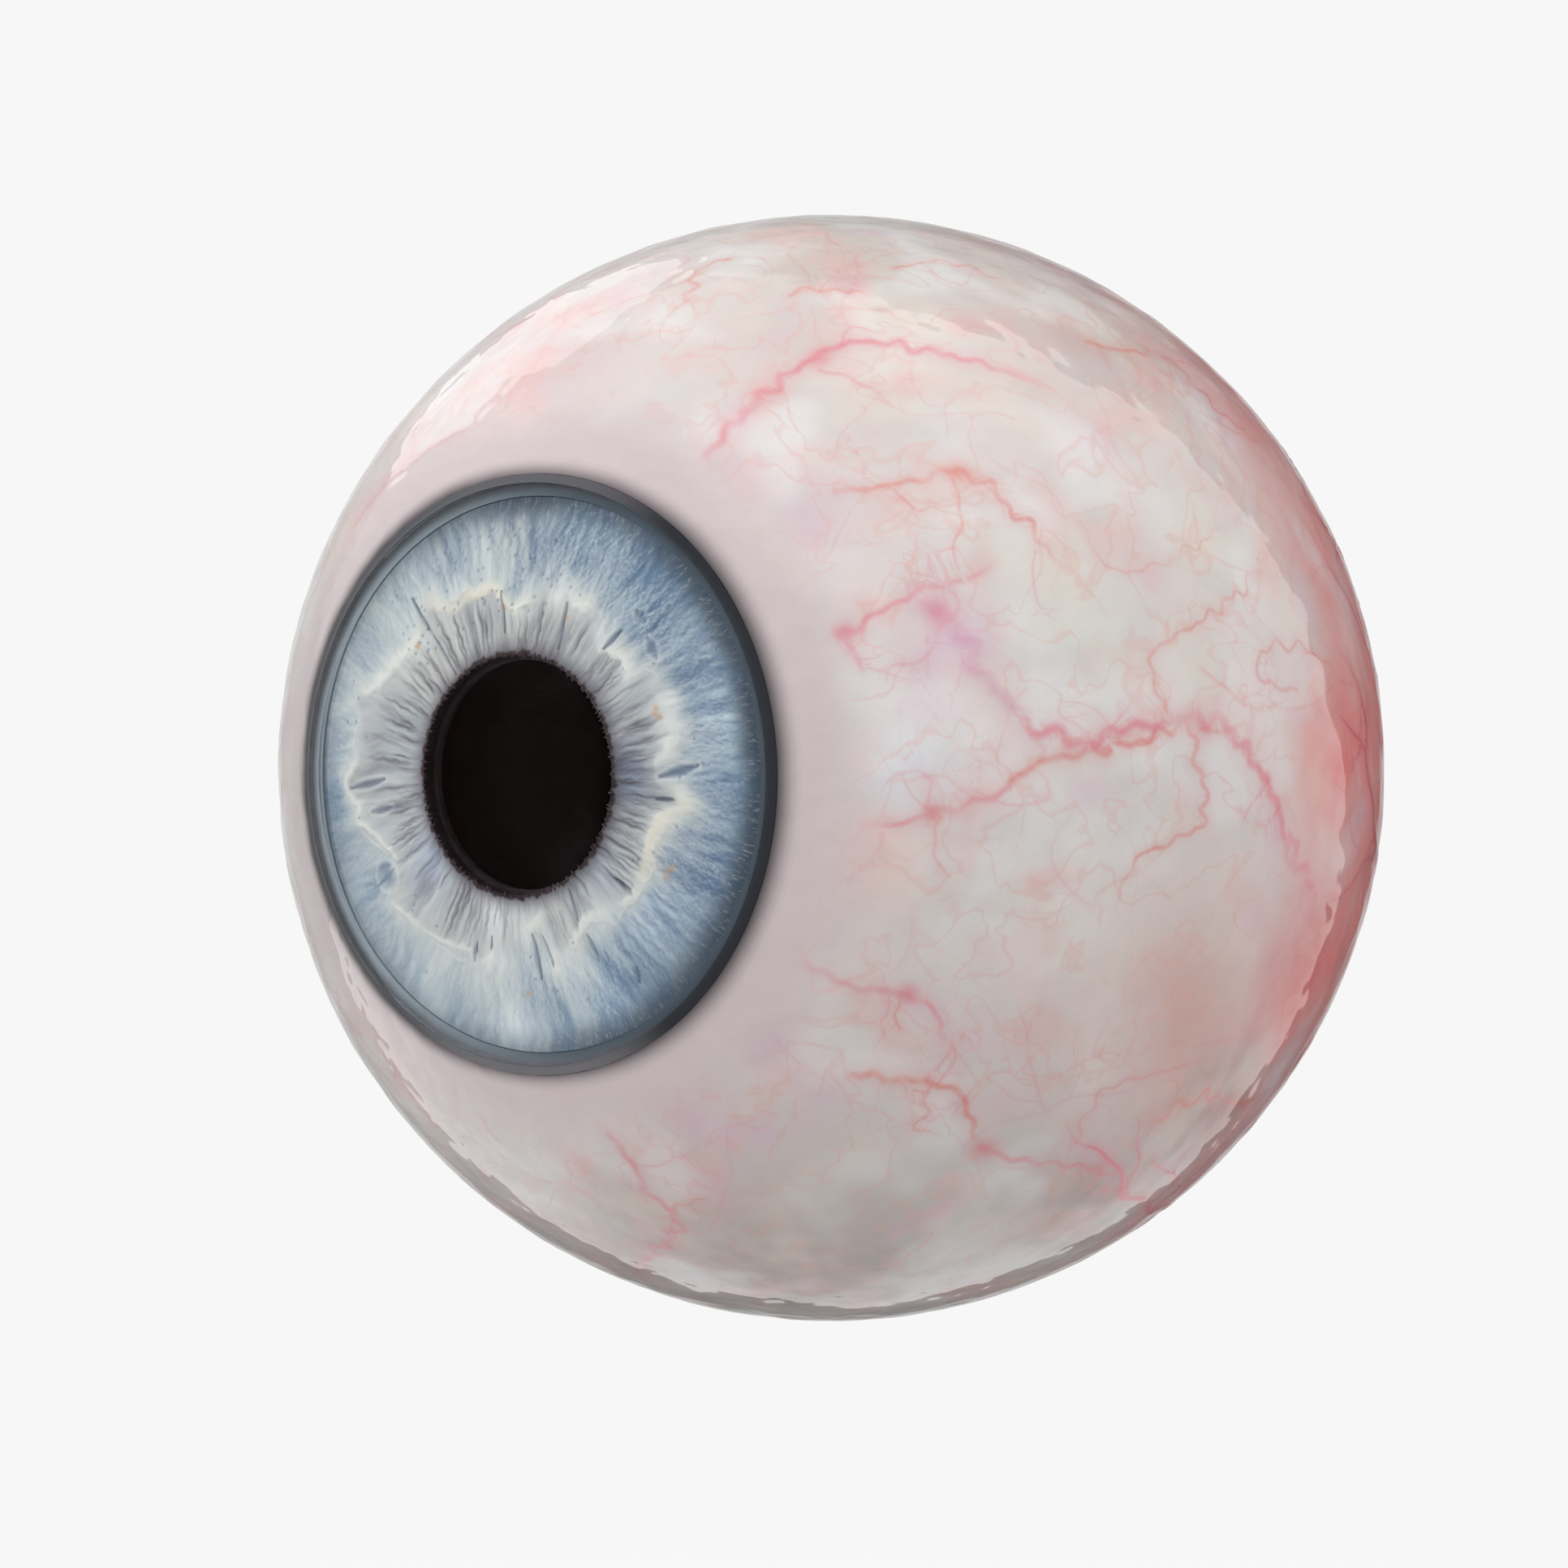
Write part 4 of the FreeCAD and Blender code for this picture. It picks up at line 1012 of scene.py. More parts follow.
def rear_shell_rings():
    """The rear half's wall, from the nerve collar over the outside, the seam and back inside."""
    outer = GLOBE_RADIUS
    inner = outer - SCLERA_WALL
    lip = inner + LIP_WALL
    collar = COLLAR_BORE + COLLAR_WALL
    rings = [nerve_ring(COLLAR_BORE, COLLAR_END), nerve_ring(COLLAR_BORE + COLLAR_WALL / 2, COLLAR_END)]
    foot = on_ball(nerve_ring(collar, 0.0), outer)
    top = foot + np.array([0.0, COLLAR_FILLET, 0.0])
    edge = nerve_ring(collar, COLLAR_END)
    for t in np.linspace(0.0, 1.0, 8, endpoint=False):
        rings.append(edge + (top - edge) * t)
    root = on_ball(nerve_ring(collar + COLLAR_FILLET, 0.0), outer)
    for t in np.linspace(0.0, 1.0, 7, endpoint=False):
        rings.append((1 - t) ** 2 * top + 2 * t * (1 - t) * foot + t * t * root)
    equator = turned(np.array([[outer, 0.0]]), AROUND_GLOBE)[0]
    first = len(rings)
    rings += fan(root, equator, outer, OUTER_RINGS - 8)
    land = outer - SEAM_LAND
    profile = runs((outer, 0.0), 2, (land, 0.0), 1, (land - SEAM_RECESS, SEAM_RECESS), 4,
                   (lip, SEAM_RECESS), 2, (lip, -LIP_LENGTH), 2, (inner, -LIP_LENGTH), 1, (inner, 0.0))
    rings += list(turned(profile, AROUND_GLOBE))
    inner_equator = turned(np.array([[inner, 0.0]]), AROUND_GLOBE)[0]
    mouth = on_ball(nerve_ring(COLLAR_BORE, 0.0), inner)
    last = fan(inner_equator, mouth, inner, 10) + [mouth]
    return np.stack(rings + last), slice(first, first + OUTER_RINGS - 7)


def sclera_material():
    """Painted and lacquered wall of the globe."""
    material, tree, surface, _ = new_material("sclera_paint")
    place = object_place(tree)
    calm = attribute(tree, "calm").outputs["Fac"]
    mottle = attribute(tree, "mottle").outputs["Fac"]
    outside = attribute(tree, "outside").outputs["Fac"]
    colour = attribute(tree, "wash").outputs["Color"]
    patches = (  # patch colour, size in mm, offset, low, high, amount
        ((234, 224, 208), 11.0, 3.0, 0.50, 0.70, 0.35),
        ((206, 204, 206), 8.0, 17.0, 0.52, 0.68, 0.30),
        ((232, 180, 176), 7.5, 41.0, 0.48, 0.74, 0.50),
        ((220, 184, 206), 9.0, 63.0, 0.55, 0.75, 0.45),
        ((238, 239, 238), 11.0, 87.0, 0.44, 0.70, 0.52),
    )
    for tone, size, offset, low, high, amount in patches:
        colour = clouded(tree, place, colour, rgba(swatch(*tone)), size, offset, low, high,
                         times(tree, mottle, amount))
    # a faint net of pink threads under the lacquer
    net = cloud(tree, shift_place(tree, place, 11.0), 7.0, 2.5, 0.5, 0.5)
    net = maths(tree, "ABSOLUTE", minus(tree, net, 0.5))
    net = soft_step(tree, net, 0.0, 0.030, 0.26, 0.0)
    net = times(tree, net, calm)
    colour = mixed(tree, net, colour, rgba(swatch(228, 160, 148)))
    grain = cloud(tree, place, 0.35, 2.0, 0.6)
    colour = mixed(tree, soft_step(tree, grain, 0.3, 0.8, 0.0, 0.10), colour, rgba(swatch(186, 178, 172)))
    for prefix, waver, halo_share in (("fine", 0.9, 0.18), ("middle", 0.9, 0.32), ("broad", 1.0, 0.36)):
        shown = vessels_shown(tree, place, prefix, waver)
        tint = attribute(tree, prefix + "_tint").outputs["Color"]
        seen = plus(tree, shown["Mask"], times(tree, shown["Halo"], halo_share))
        seen = maths(tree, "MINIMUM", times(tree, seen, outside), 0.92)
        seen = times(tree, seen, plus(tree, 0.12, times(tree, calm, 0.88)))
        colour = mixed(tree, seen, colour, tint)
    limbus = attribute(tree, "limbus").outputs["Fac"]
    colour = mixed(tree, limbus, colour, rgba(swatch(40, 38, 44)))
    rough = cloud(tree, place, 2.6, 4.0, 0.6)
    worn = handled(tree, place, 0.9, 0.42, 0.62)
    feed(tree, surface, {
        "Base Color": colour,
        "Roughness": worn["Roughness"],
        "Specular IOR Level": 0.3,
        "Coat Weight": times(tree, outside, soft_step(tree, limbus, 0.2, 0.9, 1.0, 0.25)),
        "Coat Roughness": 0.03,
        "Coat IOR": 1.5,
        "Normal": bumped(tree, rough, 0.05),
    })
    return material


# ---- iris ----
IRIS_PAINTED_SHADE = 0.90          # painted shade: all of the iris's colours are laid this much darker, against the stronger light on its front
AROUND_IRIS = 720
IRIS_RINGS = 130
ROOT_RADIUS = 24.5         # the painted shade at the iris's root begins here
ROOT_SPREAD = 3.1          # and is full after this stretch
DARK_DOTS = 110            # small blue-grey dots on the outer iris
FAR_AWAY = 99.0            # mm

COLLARETTE_LINE = (  # places of the zigzag ridge in pixels, clockwise from the top left
    (560, 754), (578, 738), (600, 731), (615, 728), (622, 742), (637, 754), (650, 746), (670, 738),
    (690, 740), (700, 728), (711, 748), (729, 752), (739, 777), (737, 799), (755, 805), (769, 813),
    (775, 833), (773, 843), (796, 835), (808, 857), (812, 872), (826, 900), (822, 925), (806, 945),
    (814, 965), (834, 973), (842, 991), (824, 999), (809, 1011), (799, 1042), (788, 1078), (781, 1103),
    (755, 1119), (735, 1124), (722, 1131), (709, 1157), (693, 1168), (672, 1125), (649, 1144),
    (634, 1159), (613, 1176), (593, 1185), (581, 1167), (563, 1164), (540, 1152), (522, 1141),
    (496, 1118), (484, 1109), (487, 1091), (496, 1068), (487, 1047), (470, 1030), (449, 1012),
    (449, 991), (434, 977), (432, 965), (443, 939), (446, 909), (451, 883), (444, 862), (465, 851),
    (479, 837), (498, 813), (518, 797), (522, 772), (532, 744), (542, 750),
)

# Soft patches of the iris's paint: place in pixels, radius in mm, screen colour, weight.
IRIS_WASHES = {
    "upper_right": ((800, 730), 5.5, (100, 128, 154), 0.9),
    "right_upper": ((860, 810), 4.0, (150, 172, 190), 0.85),
    "right_pale": ((880, 890), 3.5, (220, 244, 255), 0.85),
    "right_mid": ((890, 985), 4.0, (138, 168, 196), 0.85),
    "lower_right": ((860, 1080), 4.5, (112, 136, 164), 0.9),
    "lower_right_smooth": ((800, 1120), 3.4, (216, 234, 250), 0.95),
    "bottom_right": ((740, 1220), 4.5, (160, 190, 216), 0.85),
    "bottom": ((640, 1255), 4.5, (246, 255, 255), 0.95),
    "bottom_left": ((530, 1220), 5.0, (194, 210, 220), 0.85),
    "left_low": ((450, 1120), 4.5, (184, 200, 208), 0.85),
    "left": ((405, 980), 4.0, (84, 118, 152), 0.9),
    "left_upper": ((415, 860), 4.0, (182, 196, 202), 0.85),
    "upper_left": ((470, 740), 4.5, (180, 190, 188), 0.85),
    "upper_left_green": ((545, 660), 4.0, (154, 166, 166), 0.85),
    "top": ((640, 650), 4.5, (144, 152, 150), 0.85),
    "top_dark": ((640, 612), 2.2, (98, 108, 130), 0.8),
    "top_right": ((720, 650), 4.5, (130, 152, 166), 0.85),
    "inner_top": ((640, 785), 4.5, (170, 170, 166), 1.0),
    "inner_top_left": ((545, 810), 4.5, (182, 180, 174), 1.0),
    "inner_left": ((490, 920), 4.5, (172, 177, 180), 1.0),
    "inner_low_left": ((530, 1060), 4.0, (176, 186, 202), 1.0),
    "inner_bottom": ((620, 1120), 4.0, (236, 238, 238), 1.0),
    "inner_low_right": ((730, 1070), 4.0, (174, 182, 192), 1.0),
    "inner_right": ((785, 950), 4.0, (98, 108, 130), 1.0),
    "inner_upper_right": ((745, 850), 4.5, (162, 164, 168), 1.0),
}

# The zigzag ridge and the stretch outside it: angle in degrees from the right, width of the crest and
# reach of the pale stretch in mm, share of the fibres and of the painted shade at the root.
RIDGE_SHAPE = {
    "right": (0.0, 0.9, 2.8, 0.55, 0.95),
    "right_high": (22.0, 1.3, 2.4, 0.5, 0.95),
    "upper_right": (45.0, 0.8, 1.3, 0.85, 0.85),
    "top_right": (68.0, 0.8, 2.2, 0.8, 0.6),
    "top": (90.0, 0.7, 4.4, 0.6, 0.85),
    "top_left": (112.0, 0.8, 4.6, 0.45, 0.45),
    "upper_left": (140.0, 1.3, 4.8, 0.35, 0.15),
    "left_high": (165.0, 0.6, 2.6, 0.35, 0.2),
    "left": (190.0, 0.45, 2.0, 0.3, 0.28),
    "lower_left": (215.0, 0.40, 2.0, 0.15, 0.22),
    "bottom_left": (240.0, 0.30, 4.4, 0.15, 0.12),
    "bottom": (265.0, 0.9, 5.4, 0.8, 0.2),
    "bottom_right": (288.0, 1.3, 4.4, 1.0, 0.6),
    "lower_right": (312.0, 0.35, 1.2, 0.25, 0.8),
    "right_low": (338.0, 1.5, 2.3, 0.75, 0.95),
}

# White patches on and outside the ridge: place in pixels, radius in mm, weight.
RIDGE_PATCHES = (
    ((819, 888), 1.7, 0.9), ((826, 862), 1.2, 0.8), ((822, 915), 1.0, 0.7), ((741, 780), 1.1, 0.75),
    ((773, 828), 0.9, 0.75), ((719, 753), 1.1, 0.6), ((643, 752), 1.3, 0.6), ((687, 738), 1.5, 0.6),
    ((560, 735), 1.6, 0.55), ((502, 815), 1.6, 0.6), ((524, 788), 1.4, 0.6), ((464, 855), 1.2, 0.5),
    ((611, 1180), 1.5, 0.75), ((640, 1153), 1.1, 0.6), ((690, 1185), 1.7, 0.8), ((714, 1200), 1.5, 0.65),
    ((745, 1135), 1.5, 0.7), ((802, 1040), 1.3, 0.8), ((790, 1078), 0.9, 0.8), ((820, 1010), 1.5, 0.6),
    ((600, 690), 2.2, 0.35), ((520, 720), 2.0, 0.35), ((840, 970), 1.3, 0.6),
)

# Dark leaf-shaped pits, long creases and blue flecks, painted dark blue, in the pits and creases partly as
# painted shade: two ends in pixels, half width in mm, depth from 0 to 1.
IRIS_PITS = {
    "oval_pit": ((479, 1077), (480, 1079), 2.5, 0.7),
    "left_pocket": ((436, 971), (474, 960), 0.42, 0.8),
    "left_pocket_low": ((460, 1000), (482, 994), 0.42, 0.6),
    "right_wedge": ((812, 957), (858, 944), 0.5, 0.9),
    "right_slot": ((806, 984), (828, 985), 0.24, 0.9),
    "top_left_crease": ((510, 740), (532, 780), 0.22, 0.85),
    "top_left_crease_low": ((532, 780), (562, 832), 0.2, 0.7),
    "top_crease": ((621, 730), (621, 780), 0.2, 0.7),
    "top_crease_left": ((597, 756), (600, 788), 0.16, 0.5),
    "top_right_crease": ((699, 744), (686, 800), 0.24, 0.7),
    "upper_right_pocket": ((764, 778), (746, 800), 0.36, 0.9),
    "bottom_crease": ((658, 1150), (668, 1204), 0.28, 0.75),
    "bottom_crease_right": ((670, 1152), (684, 1190), 0.2, 0.6),
    "bottom_notch": ((724, 1150), (738, 1182), 0.26, 0.7),
    "low_right_crease": ((700, 1096), (714, 1140), 0.18, 0.6),
    "low_right_slot": ((756, 1082), (777, 1096), 0.24, 0.8),
    "low_pore": ((783, 1190), (787, 1208), 0.32, 0.85),
    "bottom_left_crease": ((588, 1158), (587, 1182), 0.18, 0.7),
    "bottom_left_slot": ((606, 1152), (606, 1172), 0.16, 0.7),
    "blue_fleck_high": ((783, 754), (794, 768), 0.5, 0.5),
    "blue_fleck_mid": ((797, 787), (808, 812), 0.5, 0.5),
    "blue_fleck_right": ((868, 768), (884, 758), 0.5, 0.45),
}

IRIS_FLECKS = ((823, 1072), (829, 1068), (820, 1080), (806, 880), (812, 884), (808, 873), (518, 797),
               (622, 750), (697, 762), (652, 1222))


def on_iris(pixel):
    """Where the camera sees a pixel on the iris's front."""
    place = seen_on(IRIS_CURVATURE, IRIS_CENTRE, pixel)
    return np.array([place.x, place.z])


def soft_field(rng, turn, reach, around, across):
    """Smooth random field from -1 to 1, with that many cells round and across the iris."""
    lattice = rng.uniform(-1.0, 1.0, (across + 2, around))
    u, v = turn * around, np.clip(reach, 0.0, 0.9999) * across
    i, j = np.floor(u).astype(int), np.floor(v).astype(int)
    fu, fv = eased(u - i), eased(v - j)
    i0, i1 = i % around, (i + 1) % around
    low = lattice[j, i0] * (1 - fu) + lattice[j, i1] * fu
    high = lattice[j + 1, i0] * (1 - fu) + lattice[j + 1, i1] * fu
    return low * (1 - fv) + high * fv


def to_segment(x, z, start, end):
    """Distance to a straight stretch, and how far along it, from 0 to 1."""
    way = end - start
    share = ((x - start[0]) * way[0] + (z - start[1]) * way[1]) / max(way @ way, 1e-9)
    share = np.clip(share, 0.0, 1.0)
    return np.hypot(x - start[0] - share * way[0], z - start[1] - share * way[1]), share


def collarette_fields(x, z):
    """Distance to the zigzag ridge, and whether a place lies inside it."""
    line = np.array([on_iris(p) for p in COLLARETTE_LINE])
    nearest = np.full(x.shape, FAR_AWAY)
    inside = np.zeros(x.shape, bool)
    for start, end in zip(line, np.roll(line, -1, axis=0)):
        distance, _ = to_segment(x, z, start, end)
        nearest = np.minimum(nearest, distance)
        crosses = (start[1] > z) != (end[1] > z)
        rise = end[1] - start[1]
        edge = start[0] + (z - start[1]) / (rise if abs(rise) > 1e-9 else 1e-9) * (end[0] - start[0])
        inside ^= crosses & (x < edge)
    return nearest, inside


def strokes(rng, turn, radius, count, starts, lengths, widths, strengths, sway, where=None):
    """Short wavy radial lines; starts and lengths are in mm, and the result runs from 0 to 1."""
    field = np.zeros(turn.shape)
    around = turn.shape[1]
    middle = rng.uniform(0, 1, count)
    first = starts(middle, rng)
    length = rng.uniform(*lengths, count)
    width = rng.uniform(*widths, count)
    strength = rng.uniform(*strengths, count)
    wave = rng.uniform(1.2, 3.2, count)
    phase = rng.uniform(*ANY_BEARING, count)
    lean = rng.normal(0, sway * 0.5, count)
    if where is not None:
        strength = strength * where(middle)
    for j, r in enumerate(radius[:, 0]):
        share = (r - first) / length
        live = (share > 0) & (share < 1)
        if not live.any():
            continue
        s = share[live]
        aside = sway * np.sin(2 * math.pi * s * length[live] / wave[live] + phase[live])
        aside += lean[live] * s * length[live]
        centre = middle[live] * around + aside / (2 * math.pi * r) * around
        bright = strength[live] * np.sin(math.pi * s) ** 0.7
        base = np.floor(centre).astype(int)
        for offset in range(-4, 6):
            away = (base + offset - centre) * 2 * math.pi * r / around
            value = bright * bell(away, width[live])
            np.maximum.at(field[j], (base + offset) % around, value)
    return field


def paint_over(colour, tone, amount):
    return colour + (tone - colour) * amount[..., None]


def iris_fields(sizes, colours):
    """Colour, relief and fibre strength over the iris's front, one value for each mesh point."""
    rng = np.random.default_rng(sizes.seed + 11)
    turn, radius = np.meshgrid(np.linspace(0, 1, AROUND_IRIS, endpoint=False),
                               np.linspace(PUPIL_RADIUS, IRIS_RIM, IRIS_RINGS))
    reach = (radius - PUPIL_RADIUS) / (IRIS_RIM - PUPIL_RADIUS)
    degrees = turn * 360.0
    x, z = radius * np.cos(2 * math.pi * turn), radius * np.sin(2 * math.pi * turn)

    def spot(place_x, place_z, size):
        """A round spot that fades out within about its size."""
        return np.exp(-((x - place_x) ** 2 + (z - place_z) ** 2) / size**2)

    jitter = 0.22
    ridge_gap, inside = collarette_fields(x + jitter * soft_field(rng, turn, reach, 180, 24),
                                          z + jitter * soft_field(rng, turn, reach, 180, 24))
    signed = np.where(inside, -ridge_gap, ridge_gap)
    sway = turn + 0.004 * soft_field(rng, turn, reach, 40, 7)
    fibre = 0.55 * soft_field(rng, sway, reach, 300, 5) + 0.45 * soft_field(rng, sway, reach, 140, 4)
    broad = soft_field(rng, sway, reach, 48, 3)

    blend = 0.30 + 1.3 * unit(soft_field(rng, turn, reach, 22, 1))
    outer = 1.0 / (1.0 + np.exp(-signed / blend))
    colour = np.repeat(np.repeat(screen(156, 172, 182)[None, None], IRIS_RINGS, 0), AROUND_IRIS, 1)
    colour = paint_over(colour, screen(176, 178, 178), 1 - outer)
    for name, (pixel, size, tone, weight) in IRIS_WASHES.items():
        amount = weight * spot(*on_iris(pixel), size)
        amount *= (1 - outer) if name.startswith("inner") else outer
        colour = paint_over(colour, screen(*tone), amount)

    # the outer zone: pale fibres near the ridge that break up into blue
    bearings, *columns = (np.array(column) for column in zip(*RIDGE_SHAPE.values()))
    crest, stretch, busy, shade_share = (np.interp(degrees, bearings, c, period=360.0) for c in columns)
    beyond = np.maximum(signed, 0.0) / (1.25 * stretch * (1.0 + 0.4 * broad + 0.35 * fibre))
    pale = unit(np.exp(-beyond**1.6) * outer * (0.95 + 0.5 * fibre))
    colour = paint_over(colour, screen(216, 220, 216), pale * 0.92)
    # the deep blue grows with the share of painted shade
    deep = unit(0.40 - fibre - 0.4 * broad) * outer * unit(beyond - 0.3)
    colour = paint_over(colour, written(colours.iris_blue), deep * (0.1 + 0.6 * shade_share))

    ridge_at = np.array([radius[:, k][np.argmin(ridge_gap[:, k])] for k in range(AROUND_IRIS)])

    def from_ridge(middle, generator):
        at = ridge_at[(middle * AROUND_IRIS).astype(int) % AROUND_IRIS]
        return at + generator.uniform(-0.5, 3.6, len(middle))

    def from_pupil(middle, generator):
        return PUPIL_RADIUS + generator.uniform(-0.5, 2.0, len(middle))

    def busy_at(middle):
        return 0.2 + 0.8 * np.interp(middle * 360.0, bearings, columns[2], period=360.0)

    def shade_share_at(middle):
        return 0.25 + 0.75 * np.interp(middle * 360.0, bearings, columns[3], period=360.0)

    # the dark fibres grow with the share of painted shade
    dark = strokes(rng, turn, radius, 900, from_ridge, (2.5, 6.5), (0.09, 0.24), (0.2, 0.9), 0.16, shade_share_at)
    white = strokes(rng, turn, radius, sizes.fibre_count, from_ridge, (3.0, 8.0), (0.07, 0.13),
                    (0.3, 1.0), 0.17, busy_at)
    colour = paint_over(colour, screen(66, 88, 120), dark * outer * unit(0.25 + beyond) * 0.60)
    colour = paint_over(colour, written(colours.iris_pale), white * outer * 0.85)

    # the inner zone: fine radial pleats, and dark creases that are partly painted shade
    creases = strokes(rng, turn, radius, 230, from_pupil, (2.5, 9.0), (0.07, 0.20), (0.15, 0.9), 0.07)
    pleats = strokes(rng, turn, radius, 420, from_pupil, (2.0, 7.0), (0.08, 0.2), (0.15, 0.7), 0.06)
    drape = (0.60 * soft_field(rng, sway, reach, 96, 3) + 0.50 * soft_field(rng, sway, reach, 210, 4)
             + 0.35 * soft_field(rng, sway, reach, 360, 6))
    calm = 1.0 - 0.55 * bell(degrees - 268.0, 32.0)
    colour = paint_over(colour, screen(226, 226, 220), unit(drape) * (1 - outer) * 0.60)
    colour = paint_over(colour, screen(92, 92, 102), unit(-drape - 0.05) * (1 - outer) * 0.50 * calm)
    colour = paint_over(colour, screen(218, 220, 216), pleats * (1 - outer) * 0.5)
    colour = paint_over(colour, screen(62, 60, 68), creases * (1 - outer) * 0.80 * calm)

    # the zigzag ridge itself, sharp towards the pupil and soft outwards
    crest = crest * (1.0 + 0.4 * soft_field(rng, turn, reach, 60, 2)) * (1.0 + 0.35 * fibre)
    apart = np.where(inside, ridge_gap / (0.24 + 0.12 * crest), ridge_gap / np.maximum(crest, 0.2))
    core = np.exp(-(apart**2))
    glow = bell(ridge_gap, 0.5 + 1.1 * crest) * np.where(inside, 0.45, 1.0)
    uneven = np.clip(0.52 + soft_field(rng, turn, reach, 44, 3), 0.05, 1)
    rise = bell(ridge_gap, 2.4) * (1 - outer)
    colour = paint_over(colour, screen(226, 225, 218), rise * 0.30)
    colour = paint_over(colour, screen(208, 211, 206), glow * 0.6 * uneven)
    colour = paint_over(colour, written(colours.collarette), core * 0.8 * uneven)
    for pixel, size, weight in RIDGE_PATCHES:
        patch = spot(*on_iris(pixel), size) * weight * (0.85 + 0.7 * fibre)
        colour = paint_over(colour, screen(234, 236, 230), np.clip(patch, 0, 0.95))
    fold_gap = signed - 0.9 - 0.7 * soft_field(rng, turn, reach, 50, 1)
    fold = bell(fold_gap, 0.17) * unit(1.6 * soft_field(rng, turn, reach, 34, 2))
    colour = paint_over(colour, screen(224, 226, 220), fold * 0.7)
    cream = bell(degrees - 112.0, 22.0) + bell(degrees - 338.0, 16.0)
    colour = paint_over(colour, screen(238, 226, 202), core * cream * 0.6)

    pits, pit_rim_highlight = np.zeros(x.shape), np.zeros(x.shape)
    for start, end, width, depth in IRIS_PITS.values():
        a, b = on_iris(start), on_iris(end)
        distance, share = to_segment(x, z, a, b)
        taper = width * (0.35 + 0.65 * np.sin(math.pi * np.clip(share, 0.05, 0.95)))
        pits = np.maximum(pits, depth * unit(1.25 - distance / taper))
        if width > 0.4:
            pit_rim_highlight = np.maximum(pit_rim_highlight, depth * bell(distance - 1.45 * taper, 0.2))
    # the pits are painted dark blue, partly as painted shade in them, and the rims of the wide ones get a
    # painted highlight
    colour = paint_over(colour, screen(84, 100, 126), pits * 0.66)
    colour = paint_over(colour, screen(226, 230, 226), pit_rim_highlight * 0.55)
    for pixel in IRIS_FLECKS:
        colour = paint_over(colour, screen(206, 150, 110), spot(*on_iris(pixel), 0.3) * 0.6)
    for spin, out in rng.uniform(0, 1, (DARK_DOTS, 2)):
        at = 16.0 + 9.0 * out
        angle = math.radians(30 + 110 * spin) if spin > 0.4 else ANY_BEARING[1] * spin * 2.5
        dot = spot(at * math.cos(angle), at * math.sin(angle), 0.13)
        colour = paint_over(colour, screen(60, 78, 104), dot * 0.55)

    # painted shade at the iris's root under the limbus, deepest on the right, and the red-brown pupil margin
    root = eased(unit((radius - ROOT_RADIUS + 0.35 * broad) / ROOT_SPREAD)) * shade_share
    colour = paint_over(colour, screen(64, 76, 88), root)
    ruff_reach = PUPIL_RADIUS + 0.28 + 0.30 * soft_field(rng, turn, reach, 170, 1)
    margin = unit((ruff_reach - radius) / 0.3 + 0.5)
    # painted shadow: a soft dark band along the pupil's edge
    pupil_shadow = unit(1.0 - (radius - PUPIL_RADIUS) / 2.4)
    colour = paint_over(colour, screen(70, 64, 72), pupil_shadow**1.8 * 0.85)
    colour = paint_over(colour, written(colours.ruff), margin)

    height = sizes.collarette_height * ((0.7 * core + 0.35 * glow) * uneven + 0.5 * fold)
    height += 0.09 * fibre * outer + 0.10 * white * outer - 0.10 * dark * outer
    height += (0.08 * pleats - 0.16 * creases + 0.08 * drape) * (1 - outer) - 0.34 * pits - 0.12 * root
    height -= 0.25 * unit(-signed / 3.0) * unit(radius - PUPIL_RADIUS)
    height = height * unit((IRIS_RIM - radius) / 0.4)
    strength = unit(0.3 + outer * (0.8 * busy - 0.1) - 0.4 * core)
    return colour, height, strength


def dished(radius_out, curvature):
    """y of the iris's coats at that distance from the axis."""
    return IRIS_CENTRE - np.sqrt(curvature**2 - np.asarray(radius_out) ** 2)


def iris_face(sizes, colours):
    """The painted and modelled front of the iris, closed behind."""
    colour, height, strength = iris_fields(sizes, colours)
    across, high = circle(AROUND_IRIS)
    reach = np.linspace(PUPIL_RADIUS, IRIS_RIM + IRIS_LIP, IRIS_RINGS)[:, None]
    front = np.stack([reach * across, dished(reach, IRIS_CURVATURE) - height, reach * high], axis=2)
    back_reach = np.array([IRIS_RIM, IRIS_RIM, 23.0, 18.0, 14.0, PUPIL_RADIUS])
    back_curve = IRIS_CURVATURE - IRIS_WALL * np.array([0.15, 1.0, 1.0, 1.0, 1.0, 1.0])
    back = turned(np.stack([back_reach, dished(back_reach, back_curve)], axis=1), AROUND_IRIS)
    mesh = skin("iris_face", np.concatenate([front, back]))
    plain = AROUND_IRIS * len(back_reach)
    behind = np.repeat(screen(14, 12, 15)[None], plain, 0)
    tones = np.concatenate([colour.reshape(-1, 3) * IRIS_PAINTED_SHADE, behind])
    paint(mesh, "iris_colour", "FLOAT_COLOR", with_alpha(to_linear(tones)))
    paint(mesh, "fibres", "FLOAT", np.concatenate([strength.ravel(), np.zeros(plain)]))
    return mesh


